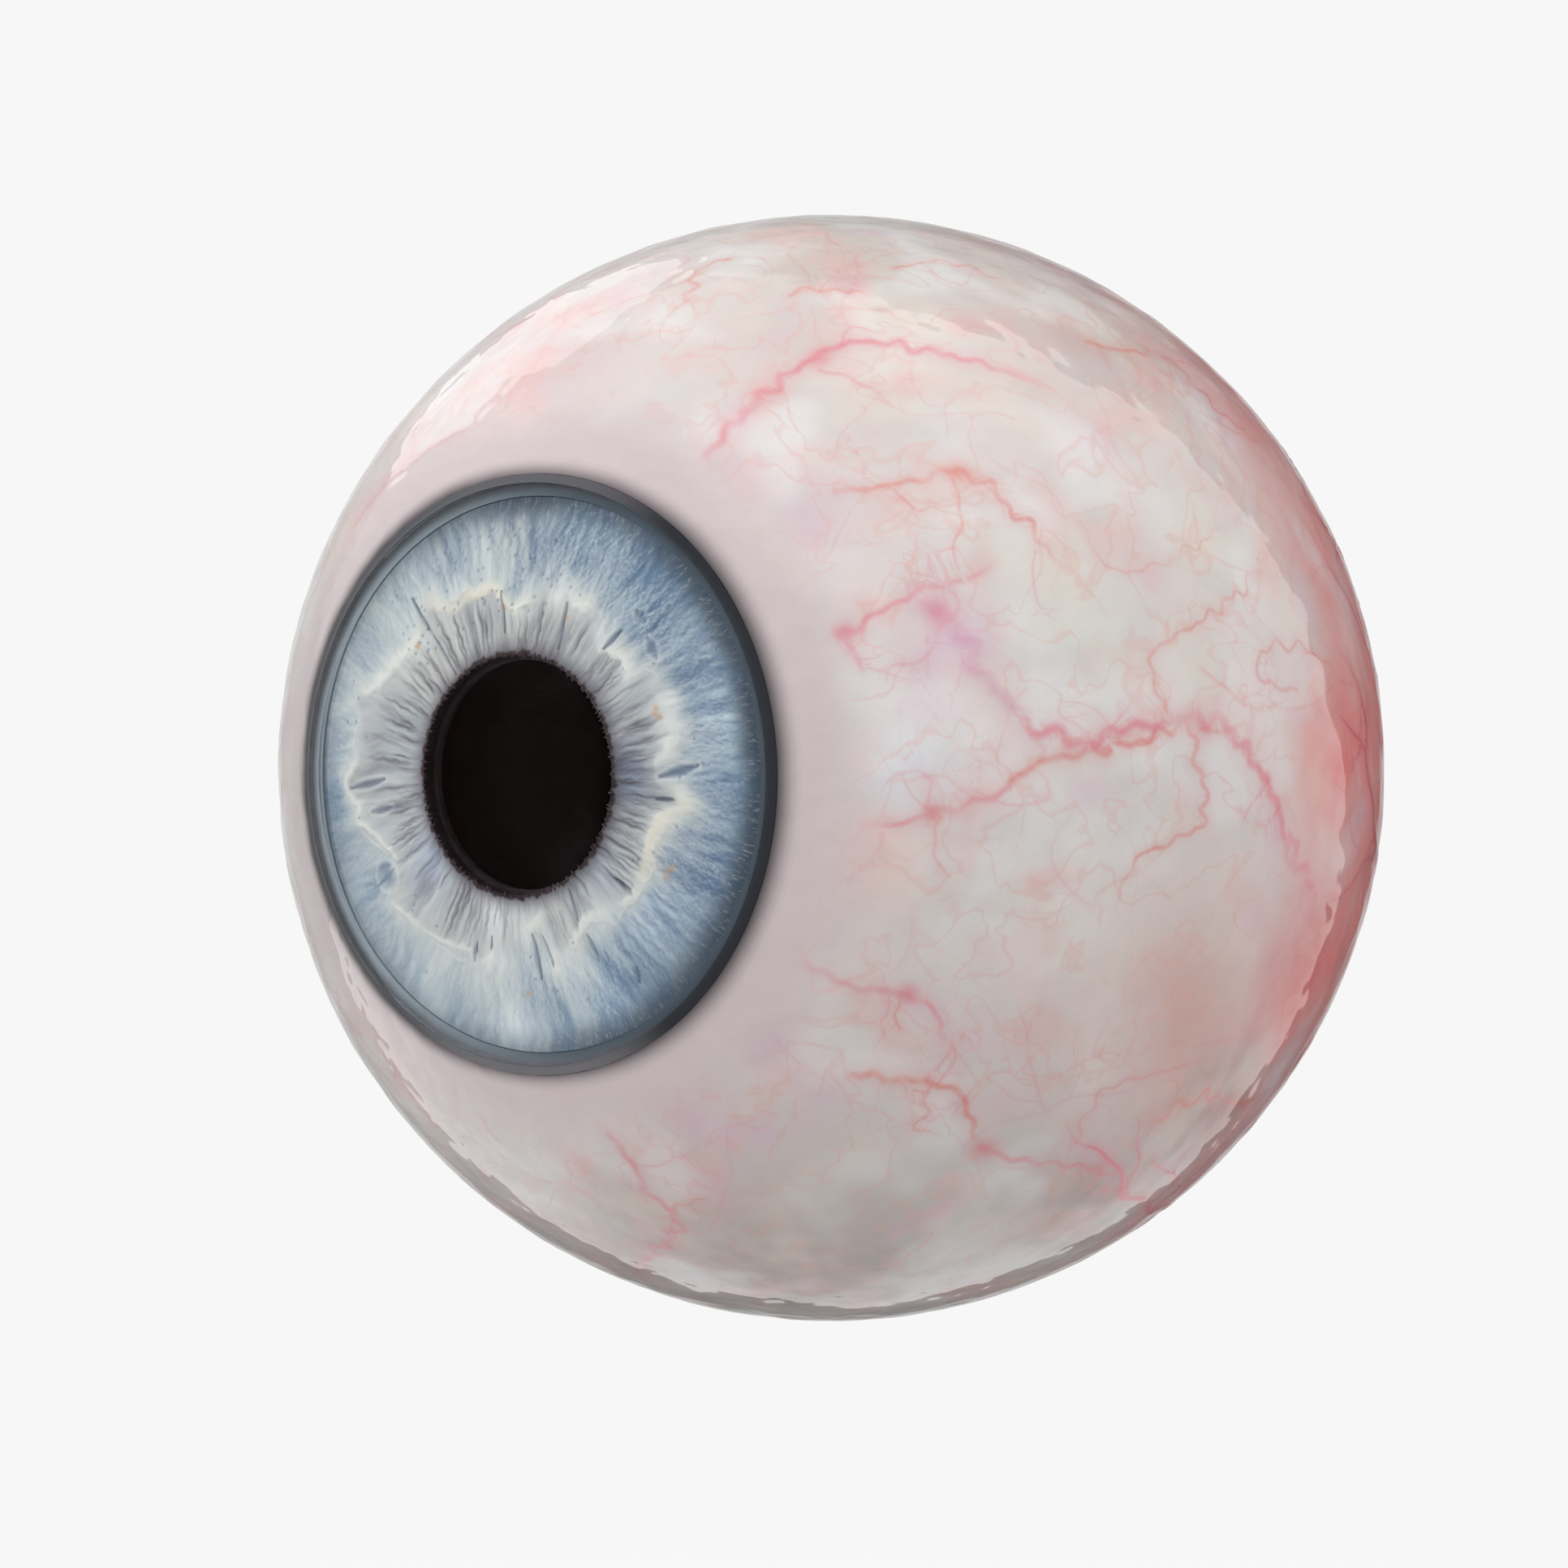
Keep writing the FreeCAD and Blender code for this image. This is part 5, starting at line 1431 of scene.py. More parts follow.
def iris_material(colours):
    material, tree, surface, _ = new_material("iris_paint")
    place = object_place(tree)
    radius, x, z = axis_radius(tree)
    warp = times(tree, minus(tree, cloud(tree, place, 1.6, 2.0, 0.5), 0.5), 0.05)

    def fibres(cells, stretch, detail):
        """Noise drawn out along the radius."""
        cos = plus(tree, maths(tree, "DIVIDE", x, radius), warp)
        sin = minus(tree, maths(tree, "DIVIDE", z, radius), warp)
        polar = shade(tree, "CombineXYZ", {
            0: times(tree, cos, cells), 1: times(tree, sin, cells),
            2: times(tree, radius, stretch)})
        return cloud(tree, polar.outputs[0], 1.0, detail, 0.6)

    fine, coarse = fibres(95.0, 0.8, 3.0), fibres(42.0, 0.45, 2.0)
    strength = attribute(tree, "fibres").outputs["Fac"]
    colour = attribute(tree, "iris_colour").outputs["Color"]
    lift = times(tree, soft_step(tree, fine, 0.50, 0.78, 0.0, 0.36), strength)
    sink = times(tree, soft_step(tree, coarse, 0.52, 0.24, 0.0, 0.2), strength)
    colour = mixed(tree, lift, colour, rgba(colours.iris_pale))
    colour = mixed(tree, sink, colour, rgba(swatch(62, 80, 104)))
    height = plus(tree, times(tree, fine, 0.6), times(tree, coarse, 0.4))
    feed(tree, surface, {
        "Base Color": colour,
        "Roughness": soft_step(tree, fine, 0.2, 0.8, 0.50, 0.68),
        "Specular IOR Level": 0.25,
        "Normal": bumped(tree, height, 0.10),
    })
    return material


def pigment_layer():
    """The dark layer behind the iris, with radial folds on its back."""
    front = IRIS_CURVATURE - IRIS_WALL - PIGMENT_GAP
    back = front - PIGMENT_WALL
    hole = PUPIL_RADIUS - PUPIL_RUFF
    reach = np.linspace(hole, IRIS_RIM, 22)
    outward = np.stack([reach, dished(reach, front)], axis=1)
    inward = np.stack([reach[::-1], dished(reach[::-1], back)], axis=1)
    rings = turned(np.concatenate([outward, inward]), AROUND_IRIS)
    turn = np.linspace(0.0, 2.0 * math.pi, AROUND_IRIS, endpoint=False)
    fold = np.abs(np.sin(FOLDS_BEHIND * turn / 2.0 + 0.6 * np.sin(5.0 * turn)))
    folded = unit((reach[::-1] - hole) / 1.5) * unit((IRIS_RIM - reach[::-1]) / 3.0)
    rings[len(reach):, :, 1] -= FOLD_DEPTH * folded[:, None] * (1.0 - fold)
    return skin("iris_pigment", rings)


# ---- clear bodies ----
AROUND_CLEAR = 256


def cornea_profile():
    centre = CORNEA_POLE + CORNEA_CURVATURE
    inner = CORNEA_CURVATURE - CORNEA_WALL
    edge_y = CORNEA_SEAT - CORNEA_EDGE_HEIGHT
    foot = CORNEA_SEAT - GLUE_GAP
    inner_edge = (beside(inner, foot - centre), foot)
    return np.concatenate([
        arc(centre, (0.0, CORNEA_POLE), (CORNEA_EDGE, edge_y), 60),
        run((CORNEA_EDGE, edge_y), (CORNEA_EDGE, foot), 3),
        run((CORNEA_EDGE, foot), inner_edge, 3),
        arc(centre, inner_edge, (0.0, centre - inner), 60),
        [(0.0, centre - inner)],
    ])


def lens_profile():
    front_centre = LENS_FRONT_POLE + LENS_FRONT_CURVATURE
    rear_centre = LENS_REAR_POLE - LENS_REAR_CURVATURE
    shoulder = (LENS_RADIUS, front_centre - beside(LENS_FRONT_CURVATURE, LENS_RADIUS))
    heel = (LENS_RADIUS, shoulder[1] + LENS_EDGE)
    return np.concatenate([
        arc(front_centre, (0.0, LENS_FRONT_POLE), shoulder, 48),
        run(shoulder, heel, 3),
        arc(rear_centre, heel, (0.0, LENS_REAR_POLE), 60),
        [(0.0, LENS_REAR_POLE)],
    ])


def bowl_profile():
    inner = VITREOUS_OUTER - VITREOUS_WALL
    outer_join = (beside(VITREOUS_OUTER, VITREOUS_JOIN), VITREOUS_JOIN)
    inner_join = (beside(inner, VITREOUS_JOIN), VITREOUS_JOIN)
    return np.concatenate([
        arc(0.0, (0.0, VITREOUS_OUTER), outer_join, 70),
        run(outer_join, inner_join, 3),
        arc(0.0, inner_join, (0.0, inner), 70),
        [(0.0, inner)],
    ])


def dish_profile():
    rear_centre = LENS_REAR_POLE - LENS_REAR_CURVATURE
    dish, dish_back = VITREOUS_DISH, VITREOUS_DISH + VITREOUS_WALL
    inner = VITREOUS_OUTER - VITREOUS_WALL
    back_y = VITREOUS_FRONT + VITREOUS_WALL
    join = VITREOUS_JOIN - GLUE_GAP
    outer_join = (beside(VITREOUS_OUTER, join), join)
    outer_front = (beside(VITREOUS_OUTER, VITREOUS_FRONT), VITREOUS_FRONT)
    dish_lip = (beside(dish, VITREOUS_FRONT - rear_centre), VITREOUS_FRONT)
    back_lip = (beside(dish_back, back_y - rear_centre), back_y)
    inner_front = (beside(inner, back_y), back_y)
    inner_join = (beside(inner, join), join)
    return np.concatenate([
        arc(rear_centre, (0.0, rear_centre + dish), dish_lip, 40),
        run(dish_lip, outer_front, 6),
        arc(0.0, outer_front, outer_join, 36),
        run(outer_join, inner_join, 3),
        arc(0.0, inner_join, inner_front, 32),
        run(inner_front, back_lip, 6),
        arc(rear_centre, back_lip, (0.0, rear_centre + dish_back), 40),
        [(0.0, rear_centre + dish_back)],
    ])


def clear_material(name, tone, patch_tone, ior, size):
    """Polished clear plastic that lets lamp light through."""
    material, tree, surface, output = new_material(name)
    place = object_place(tree)
    haze = clouded(tree, place, rgba(swatch(*tone)), rgba(swatch(*patch_tone)), size, 5.0, 0.35, 0.75, 0.8)
    feed(tree, surface, {"Base Color": haze, "Roughness": 0.0, "IOR": ior, "Transmission Weight": 1.0})
    through = shade(tree, "BsdfTransparent", {"Color": haze})
    shadow = shade(tree, "LightPath").outputs["Is Shadow Ray"]
    either = shade(tree, "MixShader", {0: shadow, 1: surface.outputs[0], 2: through.outputs[0]})
    tree.links.new(either.outputs[0], output.inputs["Surface"])
    return material


def clear_piece(name, profile, material, body, slot, node):
    place_piece(name, lathe(name, profile, AROUND_CLEAR), material, body, slot, node)


# ---- things that repeat round an axis ----
def make_ring_tree():
    """Copies of the modifier's own mesh round the visual axis, each a little different."""
    tree, given, leave = new_group(
        "ring_of_copies",
        [("Geometry", "Geometry"), ("Count", "Int"), ("Radius", "Float"), ("Start Angle", "Float"),
         ("Turn Variation", "Float"), ("Size Variation", "Float"), ("Centre", "Vector"),
         ("Seed", "Int"), ("Material", "Material")],
        [("Geometry", "Geometry")], "GeometryNodeTree")

    def random_between(low, high):
        inputs = {2: low, 3: high, 8: given["Seed"]}
        return add_node(tree, "FunctionNodeRandomValue", inputs, data_type="FLOAT").outputs[1]

    index = add_node(tree, "GeometryNodeInputIndex").outputs[0]
    step = maths(tree, "DIVIDE", 2 * math.pi, given["Count"])
    stray = random_between(times(tree, given["Turn Variation"], -1.0), given["Turn Variation"])
    angle = plus(tree, plus(tree, times(tree, index, step), given["Start Angle"]), stray)
    place = shade(tree, "CombineXYZ", {
        0: times(tree, maths(tree, "COSINE", angle), given["Radius"]),
        2: times(tree, maths(tree, "SINE", angle), given["Radius"])})
    place = vector_maths(tree, "ADD", place.outputs[0], given["Centre"])
    points = add_node(tree, "GeometryNodePoints", {"Count": given["Count"], "Position": place})
    turning = shade(tree, "CombineXYZ", {1: times(tree, angle, -1.0)})
    growth = random_between(minus(tree, 1.0, given["Size Variation"]), 1.0)
    copies = add_node(tree, "GeometryNodeInstanceOnPoints", {
        "Points": points.outputs[0], "Instance": given["Geometry"],
        "Rotation": turning.outputs[0], "Scale": growth})
    real = add_node(tree, "GeometryNodeRealizeInstances", {"Geometry": copies.outputs[0]})
    dressed = add_node(tree, "GeometryNodeSetMaterial", {
        "Geometry": real.outputs[0], "Material": given["Material"]})
    tree.links.new(dressed.outputs[0], leave.inputs[0])


def ring_of(name, item, material, count, radius, seed, height, start=0.0, turn_spread=0.0, size_spread=0.0):
    """A plain mesh of copies of an item, drawn with +X outwards, round the visual axis at a height."""
    tree = bpy.data.node_groups["ring_of_copies"]
    maker = bpy.data.objects.new(name + "_maker", item)
    bpy.context.scene.collection.objects.link(maker)
    modifier = maker.modifiers.new("ring", "NODES")
    modifier.node_group = tree
    centre = tuple(float(v) for v in CENTRE + np.array([0.0, height * MM, 0.0]))
    values = {"Count": count, "Radius": radius * MM, "Start Angle": start, "Turn Variation": turn_spread,
              "Size Variation": size_spread, "Centre": centre, "Seed": seed, "Material": material}
    for socket in tree.interface.items_tree:
        if socket.in_out == "INPUT" and socket.name in values:
            modifier[socket.identifier] = values[socket.name]
    evaluated = maker.evaluated_get(bpy.context.evaluated_depsgraph_get())
    mesh = bpy.data.meshes.new_from_object(evaluated)
    mesh.name = name
    maker.modifiers.clear()
    bpy.data.objects.remove(maker)
    finish_mesh(mesh)
    return mesh


def small_solid(name, profile, around, axis="Y"):
    """A small turned item about its own middle, in mm, standing along Y or lying along X."""
    mesh = lathe(name, profile, around)
    mesh.transform(Matrix.Translation(Vector(-CENTRE)))
    if axis == "X":
        mesh.transform(Matrix.Rotation(math.radians(-90), 4, "Z"))
    return mesh


def magnet_item():
    r, half, flat = MAGNET_RADIUS, MAGNET_LENGTH / 2, MAGNET_RADIUS - SMALL_BEVEL
    side = half - SMALL_BEVEL
    return small_solid("magnet_item", [
        (0, -half), (flat, -half), (r, -side), (r, side), (flat, half), (0, half)], 40)


def fibre_item(length):
    half = length / 2
    return small_solid("fibre_item", [
        (0, -half), (0.13, -half + 0.02), (0.08, -half * 0.5), (0.06, 0.0), (0.08, half * 0.5),
        (0.15, half - 0.02), (0, half)], 8, "X")


def bead_item(width, height, length):
    """A rounded bead, longest outwards."""
    angle = np.linspace(-math.pi / 2, math.pi / 2, 9)
    profile = np.stack([np.cos(angle), np.sin(angle)], axis=1)
    profile[0, 0] = profile[-1, 0] = 0.0
    mesh = small_solid("bead_item", profile, 12, "X")
    mesh.transform(Matrix.Diagonal((length, height, width, 1.0)))
    return mesh


# ---- finishes of the remaining pieces ----
def toned_material(name, tone, patch_tone, size, roughness, grain=0.8, relief=0.05, metal=0.0, coat=0.0,
                   stretch=(1.0, 1.0, 1.0)):
    """A moulded or turned finish with uneven colour, grain and handling marks."""
    material, tree, surface, _ = new_material(name)
    place = vector_maths(tree, "MULTIPLY", object_place(tree), stretch)
    patched = clouded(tree, place, rgba(tone), rgba(patch_tone), size, 9.0, 0.38, 0.66, 0.8)
    worn = handled(tree, place, grain, roughness - 0.07, roughness + 0.12)
    feed(tree, surface, {
        "Base Color": patched, "Metallic": metal, "Roughness": worn["Roughness"], "Coat Weight": coat,
        "Coat Roughness": 0.08, "Normal": bumped(tree, worn["Height"], relief)})
    return material


def limbus_material(colours):
    """Ring from slate at the iris's root to charcoal; the slate is painted light, the temple side painted
    shade, and top and bottom a painted reflection.
    """
    material, tree, surface, _ = new_material("limbus_charcoal")
    radius, x, z = axis_radius(tree)
    place = object_place(tree)
    uneven = times(tree, minus(tree, cloud(tree, place, 2.4, 3.0, 0.6), 0.5), 0.6)
    outwards = soft_step(tree, plus(tree, radius, uneven), 27.4, 29.6)
    # painted shade: the ring darkens towards the temple side; the pale slate at the root is painted light
    # against the shade in the seat
    temple = soft_step(tree, maths(tree, "DIVIDE", x, radius), -0.9, 0.35)
    root = mixed(tree, temple, rgba(swatch(150, 161, 168)), rgba(swatch(72, 84, 94)))
    charcoal = mixed(tree, temple, rgba(swatch(88, 88, 92)), rgba(colours.limbus))
    # painted reflection: the ring is paler at top and bottom, palest at the bottom
    upright = maths(tree, "ABSOLUTE", maths(tree, "DIVIDE", z, radius))
    top = soft_step(tree, z, -4.0, 4.0)
    reflected_tone = mixed(tree, top, rgba(swatch(122, 120, 124)), rgba(swatch(94, 93, 98)))
    charcoal = mixed(tree, soft_step(tree, upright, 0.80, 1.0), charcoal, reflected_tone)
    colour = mixed(tree, outwards, root, charcoal)
    worn = handled(tree, place, 0.5, 0.5, 0.7)
    feed(tree, surface, {"Base Color": colour, "Roughness": worn["Roughness"], "Specular IOR Level": 0.25,
                         "Normal": bumped(tree, worn["Height"], 0.04)})
    return material


def darker(colour, share):
    return tuple(v * share for v in colour[:3])


RETINAL_BRANCHES = (      # side, vessel, half width in mm, how steeply it leaves the disc
    (1.0, "artery", 0.52, 0.9), (1.0, "vein", 0.66, 1.15),
    (-1.0, "artery", 0.42, 0.8), (-1.0, "vein", 0.54, 1.05),
)
RETINAL_REACH = 62.0      # length of the main vessels in mm


def retina_vessels(colours, sizes):
    """Arteries and veins that leave the optic disc and arch round the macula."""
    rng = np.random.default_rng(sizes.seed + 29)
    radius = RETINA_OUTER - RETINA_WALL
    vessels = VesselMap(radius)
    disc = Vector((-NERVE_OFFSET, 0.0, 0.0))
    for up in (1, -1):
        for side, kind, width, lean in RETINAL_BRANCHES:
            edge = disc + Vector((side * 1.5, 0.0, up * 6.6))
            start = Vector((edge.x, beside(radius, math.hypot(edge.x, edge.z)), edge.z))
            heading = Vector((side * 0.35, 0.0, up * lean))
            goal = Vector((side * 0.7, -0.75, up * 0.35)).normalized()
            tint = np.array(getattr(colours, kind)[:3])
            sprout(vessels, rng, start, heading, RETINAL_REACH, width, 0.95, tint, 0.055, 3, goal, 0.045)
    vessels.close()
    return vessels


RETINA_RINGS = 84


def retina_rings():
    """The cup from the nerve's hole to the seam and back on its outer side."""
    outer, inner = RETINA_OUTER, RETINA_OUTER - RETINA_WALL
    hole_in, hole_out = (on_ball(nerve_ring(RETINA_HOLE, 0.0), r) for r in (inner, outer))
    rim_in, rim_out = (turned(np.array([[beside(r, RETINA_SETBACK), RETINA_SETBACK]]), AROUND_GLOBE)[0]
                       for r in (inner, outer))
    inside = fan(hole_in, rim_in, inner, RETINA_RINGS) + [rim_in]
    outside = fan(rim_out, hole_out, outer, 10) + [hole_out]
    rings = np.stack(inside + outside)
    face = rings[:RETINA_RINGS + 1].reshape(-1, 3)
    from_axis = np.hypot(face[:, 0], face[:, 2])
    dip = unit((MACULA_RADIUS + 1.3 - from_axis) / 1.2) * MACULA_SEAT
    dip = np.where(face[:, 1] > 0, dip, 0.0)
    face *= (1.0 + dip / inner)[:, None]
    rings[:RETINA_RINGS + 1] = face.reshape(RETINA_RINGS + 1, AROUND_GLOBE, 3)
    return rings


def retina_material(colours, with_vessels):
    material, tree, surface, _ = new_material("retina_vessels" if with_vessels else "retina_band")
    place = object_place(tree)
    colour = rgba(colours.retina)
    colour = clouded(tree, place, colour, rgba(swatch(200, 98, 66)), 9.0, 2.0, 0.4, 0.7, 0.6)
    colour = clouded(tree, place, colour, rgba(swatch(226, 140, 92)), 2.2, 21.0, 0.5, 0.75, 0.25)
    if with_vessels:
        macula = attribute(tree, "macula").outputs["Fac"]
        colour = mixed(tree, macula, colour, rgba(swatch(166, 66, 40)))
        shown = vessels_shown(tree, place, "retinal", 0.4)
        inner = attribute(tree, "inner_face").outputs["Fac"]
        seen = times(tree, maths(tree, "MINIMUM", shown["Mask"], 0.95), inner)
        colour = mixed(tree, seen, colour, attribute(tree, "retinal_tint").outputs["Color"])
    worn = handled(tree, place, 0.7, 0.34, 0.5)
    feed(tree, surface, {"Base Color": colour, "Roughness": worn["Roughness"],
                         "Normal": bumped(tree, worn["Height"], 0.05)})
    return material


def nerve_material(colours):
    """Cut nerve: pale bundles in a darker matrix."""
    material, tree, surface, _ = new_material("nerve_bundles")
    place = vector_maths(tree, "MULTIPLY", object_place(tree), (1.0, 0.05, 1.0))
    cells = shade(tree, "TexVoronoi", {"Vector": place, "Scale": 1.5, "Randomness": 0.85},
                  feature="DISTANCE_TO_EDGE").outputs["Distance"]
    bundle = soft_step(tree, cells, 0.03, 0.16)
    colour = mixed(tree, bundle, rgba(swatch(168, 120, 92)), rgba(colours.nerve))
    colour = clouded(tree, place, colour, rgba(swatch(238, 222, 184)), 1.4, 4.0, 0.45, 0.7, 0.5)
    feed(tree, surface, {"Base Color": colour, "Roughness": soft_step(tree, cells, 0.0, 0.3, 0.65, 0.42),
                         "Normal": bumped(tree, bundle, 0.15)})
    return material


def choroid_material(colours):
    """Dark coat with its web of broad veins."""
    material, tree, surface, _ = new_material("choroid_web")
    place = object_place(tree)
    drift = shade(tree, "TexNoise", {"Vector": place, "Scale": 0.16, "Detail": 2.0}).outputs["Color"]
    place = vector_maths(tree, "ADD", place, scaled(tree, drift, 7.0))
    cells = shade(tree, "TexVoronoi", {"Vector": place, "Scale": 0.22, "Randomness": 0.9},
                  feature="DISTANCE_TO_EDGE").outputs["Distance"]
    vein = soft_step(tree, cells, 0.02, 0.13, 1.0, 0.0)
    colour = mixed(tree, vein, rgba(colours.choroid), rgba(swatch(150, 52, 40)))
    worn = handled(tree, place, 0.8, 0.4, 0.6)
    feed(tree, surface, {"Base Color": colour, "Roughness": worn["Roughness"],
                         "Normal": bumped(tree, vein, 0.2)})
    return material


def brass_material(colours):
    """Turned brass with rings left by the tool."""
    material, tree, surface, _ = new_material("bush_brass")
    place = object_place(tree)
    radius, _, _ = across_y(tree, place)
    rings = maths(tree, "SINE", times(tree, radius, 40.0))
    rings = plus(tree, times(tree, rings, 0.5), 0.5)
    worn = handled(tree, place, 0.5, 0.22, 0.42)
    colour = clouded(tree, place, rgba(colours.brass), rgba(swatch(150, 112, 60)), 3.0, 1.0, 0.45, 0.75, 0.6)
    feed(tree, surface, {"Base Color": colour, "Metallic": 1.0, "Roughness": worn["Roughness"],
                         "Normal": bumped(tree, rings, 0.02)})
    return material


# ---- one operator for each piece or group of like pieces ----
class EYE_OT_sclera(Operator):
    """Make the front and rear walls of the globe with their painted vessels"""

    bl_idname = "eye.sclera"
    bl_label = "Sclera"

    def execute(self, context):
        sizes, colours = context.scene.eye_sizes, context.scene.eye_colours
        vessels = sclera_vessels(sizes, colours)
        material = sclera_material()
        rings, outer = front_shell_rings()
        sclera_piece("sclera_front_shell_skin", rings, outer, vessels, sizes, colours, material,
                     "front_half", "sclera_front")
        rings, outer = rear_shell_rings()
        sclera_piece("sclera_rear_shell_skin", rings, outer, vessels, sizes, colours, material,
                     "rear_half", "sclera_rear")
        return {"FINISHED"}


class EYE_OT_linings(Operator):
    """Make the retina with its vessels, and finish the choroid and the macula"""

    bl_idname = "eye.linings"
    bl_label = "Choroid and retina"

    def execute(self, context):
        sizes, colours = context.scene.eye_sizes, context.scene.eye_colours
        choroid = choroid_material(colours)
        coat_node("choroid_rear_shell", choroid)
        coat_node("choroid_front_shell", choroid)
        coat_node("retina_front_band", retina_material(colours, False))
        coat_node("macula_inlay", toned_material(
            "macula_yellow", swatch(206, 138, 48), swatch(150, 70, 30), 2.4, 0.42))
        rings = retina_rings()
        mesh = skin("retina_cup", rings)
        points = rings.reshape(-1, 3)
        paint_vessels(mesh, "retinal", retina_vessels(colours, sizes), points)
        inner = np.zeros(rings.shape[:2])
        inner[:RETINA_RINGS + 1] = 1.0
        paint(mesh, "inner_face", "FLOAT", inner)
        from_axis = np.hypot(points[:, 0], points[:, 2])
        paint(mesh, "macula", "FLOAT", 0.75 * bell(from_axis, 7.0) * (points[:, 1] > 0))
        place_piece("retina_cup", mesh, retina_material(colours, True), "rear_half", "retina",
                    "retina_rear_cup")
        return {"FINISHED"}


class EYE_OT_iris(Operator):
    """Make the modelled and painted iris with the pigment behind it"""

    bl_idname = "eye.iris"
    bl_label = "Iris"

    def execute(self, context):
        sizes, colours = context.scene.eye_sizes, context.scene.eye_colours
        place_piece("iris_face", iris_face(sizes, colours), iris_material(colours), "iris", "iris",
                    "iris_stroma")
        pigment = toned_material("iris_pigment_brown", darker(colours.ruff, 0.5), darker(colours.ruff, 1.1),
                                 1.2, 0.6, 0.3)
        place_piece("iris_pigment", pigment_layer(), pigment, "iris", "iris_pigment", "iris_pigment_layer")
        red_brown = toned_material("ruff_red_brown", darker(colours.ruff, 0.7), darker(colours.ruff, 2.2),
                                   0.5, 0.6, 0.3)
        beads = ring_of("pupil_ruff", bead_item(0.13, 0.14, 0.42), red_brown, sizes.ruff_count,
                        PUPIL_RADIUS + 0.04, sizes.seed, float(dished(PUPIL_RADIUS, IRIS_CURVATURE)) + 0.06,
                        0.0, 0.03, 0.65)
        place_piece("pupil_ruff", beads, red_brown, "iris", "iris_pigment")
        return {"FINISHED"}


class EYE_OT_cornea(Operator):
    """Make the clear cornea"""

    bl_idname = "eye.cornea"
    bl_label = "Cornea"

    def execute(self, context):
        material = clear_material("cornea_clear_plastic", (253, 254, 255), (250, 252, 254), 1.06, 14.0)
        clear_piece("cornea", cornea_profile(), material, "cornea", "cornea_clear", "cornea_dome")
        return {"FINISHED"}


class EYE_OT_lens(Operator):
    """Make the lens and the zonule fibres that hold it"""

    bl_idname = "eye.lens"
    bl_label = "Lens"

    def execute(self, context):
        sizes = context.scene.eye_sizes
        material = clear_material("lens_clear_plastic", (244, 249, 254), (236, 244, 252), 1.07, 12.0)
        clear_piece("lens", lens_profile(), material, "lens", "lens_clear", "lens_body")
        white = toned_material("zonule_white", swatch(232, 230, 224), swatch(206, 204, 196), 2.0, 0.4, 0.3)
        hub_in = LENS_RADIUS + 0.1
        hub_out, rim_in = hub_in + ZONULE_HUB_WALL, ZONULE_RADIUS - ZONULE_HUB_WALL
        y0, y1, bevel = ZONULE_FRONT, ZONULE_REAR, SMALL_BEVEL
        for name, near, far in (("zonule_hub", hub_in, hub_out), ("zonule_rim", rim_in, ZONULE_RADIUS)):
            profile = [(near, y0 + bevel), (near + bevel, y0), (far - bevel, y0), (far, y0 + bevel),
                       (far, y1 - bevel), (far - bevel, y1), (near + bevel, y1), (near, y1 - bevel)]
            place_piece(name, lathe(name, profile, 200), white, "lens", "zonule", "zonule_ring")
        length = rim_in - hub_out + 0.4
        for k, height in enumerate((0.35, 0.65)):
            name = ("zonule_fibres_front", "zonule_fibres_rear")[k]
            mesh = ring_of(name, fibre_item(length), white, sizes.zonule_count, (hub_out + rim_in) / 2,
                           sizes.seed + k, y0 + (y1 - y0) * height, 0.02 * k, 0.012, 0.0)
            place_piece(name, mesh, white, "lens", "zonule")
        return {"FINISHED"}


class EYE_OT_ciliary(Operator):
    """Finish the ciliary body with its folds, and the limbus ring"""

    bl_idname = "eye.ciliary"
    bl_label = "Ciliary body and limbus"

    def execute(self, context):
        sizes, colours = context.scene.eye_sizes, context.scene.eye_colours
        brown = toned_material("ciliary_brown", colours.ciliary, swatch(70, 36, 32), 1.6, 0.5, 0.4, 0.12)
        coat_node("ciliary_body", brown)
        rear_face = VITREOUS_FRONT - 0.75
        folds = ring_of("ciliary_folds", bead_item(0.62, 0.42, 3.3), brown, sizes.fold_count, FOLD_CIRCLE,
                        sizes.seed, rear_face, 0.0, 0.0, 0.12)
        place_piece("ciliary_folds", folds, brown, "front_half", "ciliary")
        coat_node("limbus_ring", limbus_material(colours))
        return {"FINISHED"}


class EYE_OT_vitreous(Operator):
    """Make the two clear mouldings of the vitreous ball"""

    bl_idname = "eye.vitreous"
    bl_label = "Vitreous"

    def execute(self, context):
        material = clear_material("vitreous_clear_plastic", (250, 253, 254), (246, 251, 253), 1.06, 20.0)
        clear_piece("vitreous_bowl_clear", bowl_profile(), material, "vitreous", "vitreous_clear",
                    "vitreous_bowl")
        clear_piece("vitreous_dish_clear", dish_profile(), material, "vitreous", "vitreous_clear",
                    "vitreous_front_dish")
        return {"FINISHED"}


class EYE_OT_nerve(Operator):
    """Finish the optic nerve, its vessels and the stand rod's bush"""

    bl_idname = "eye.nerve"
    bl_label = "Optic nerve"

    def execute(self, context):
        colours = context.scene.eye_colours
        coat_node("nerve_core", nerve_material(colours))
        coat_node("nerve_sheath", toned_material(
            "sheath_fibrous", colours.sheath, swatch(186, 140, 128), 1.2, 0.5, 0.4, 0.12,
            stretch=(1.6, 0.25, 1.6)))
        coat_node("central_retinal_artery", toned_material(
            "artery_red_vinyl", colours.artery, darker(colours.artery, 0.6), 1.5, 0.3, 0.4, coat=0.5))
        coat_node("central_retinal_vein", toned_material(
            "vein_blue_vinyl", colours.vein, darker(colours.vein, 0.6), 1.5, 0.3, 0.4, coat=0.5))
        coat_node("stand_rod_bush", brass_material(colours))
        return {"FINISHED"}


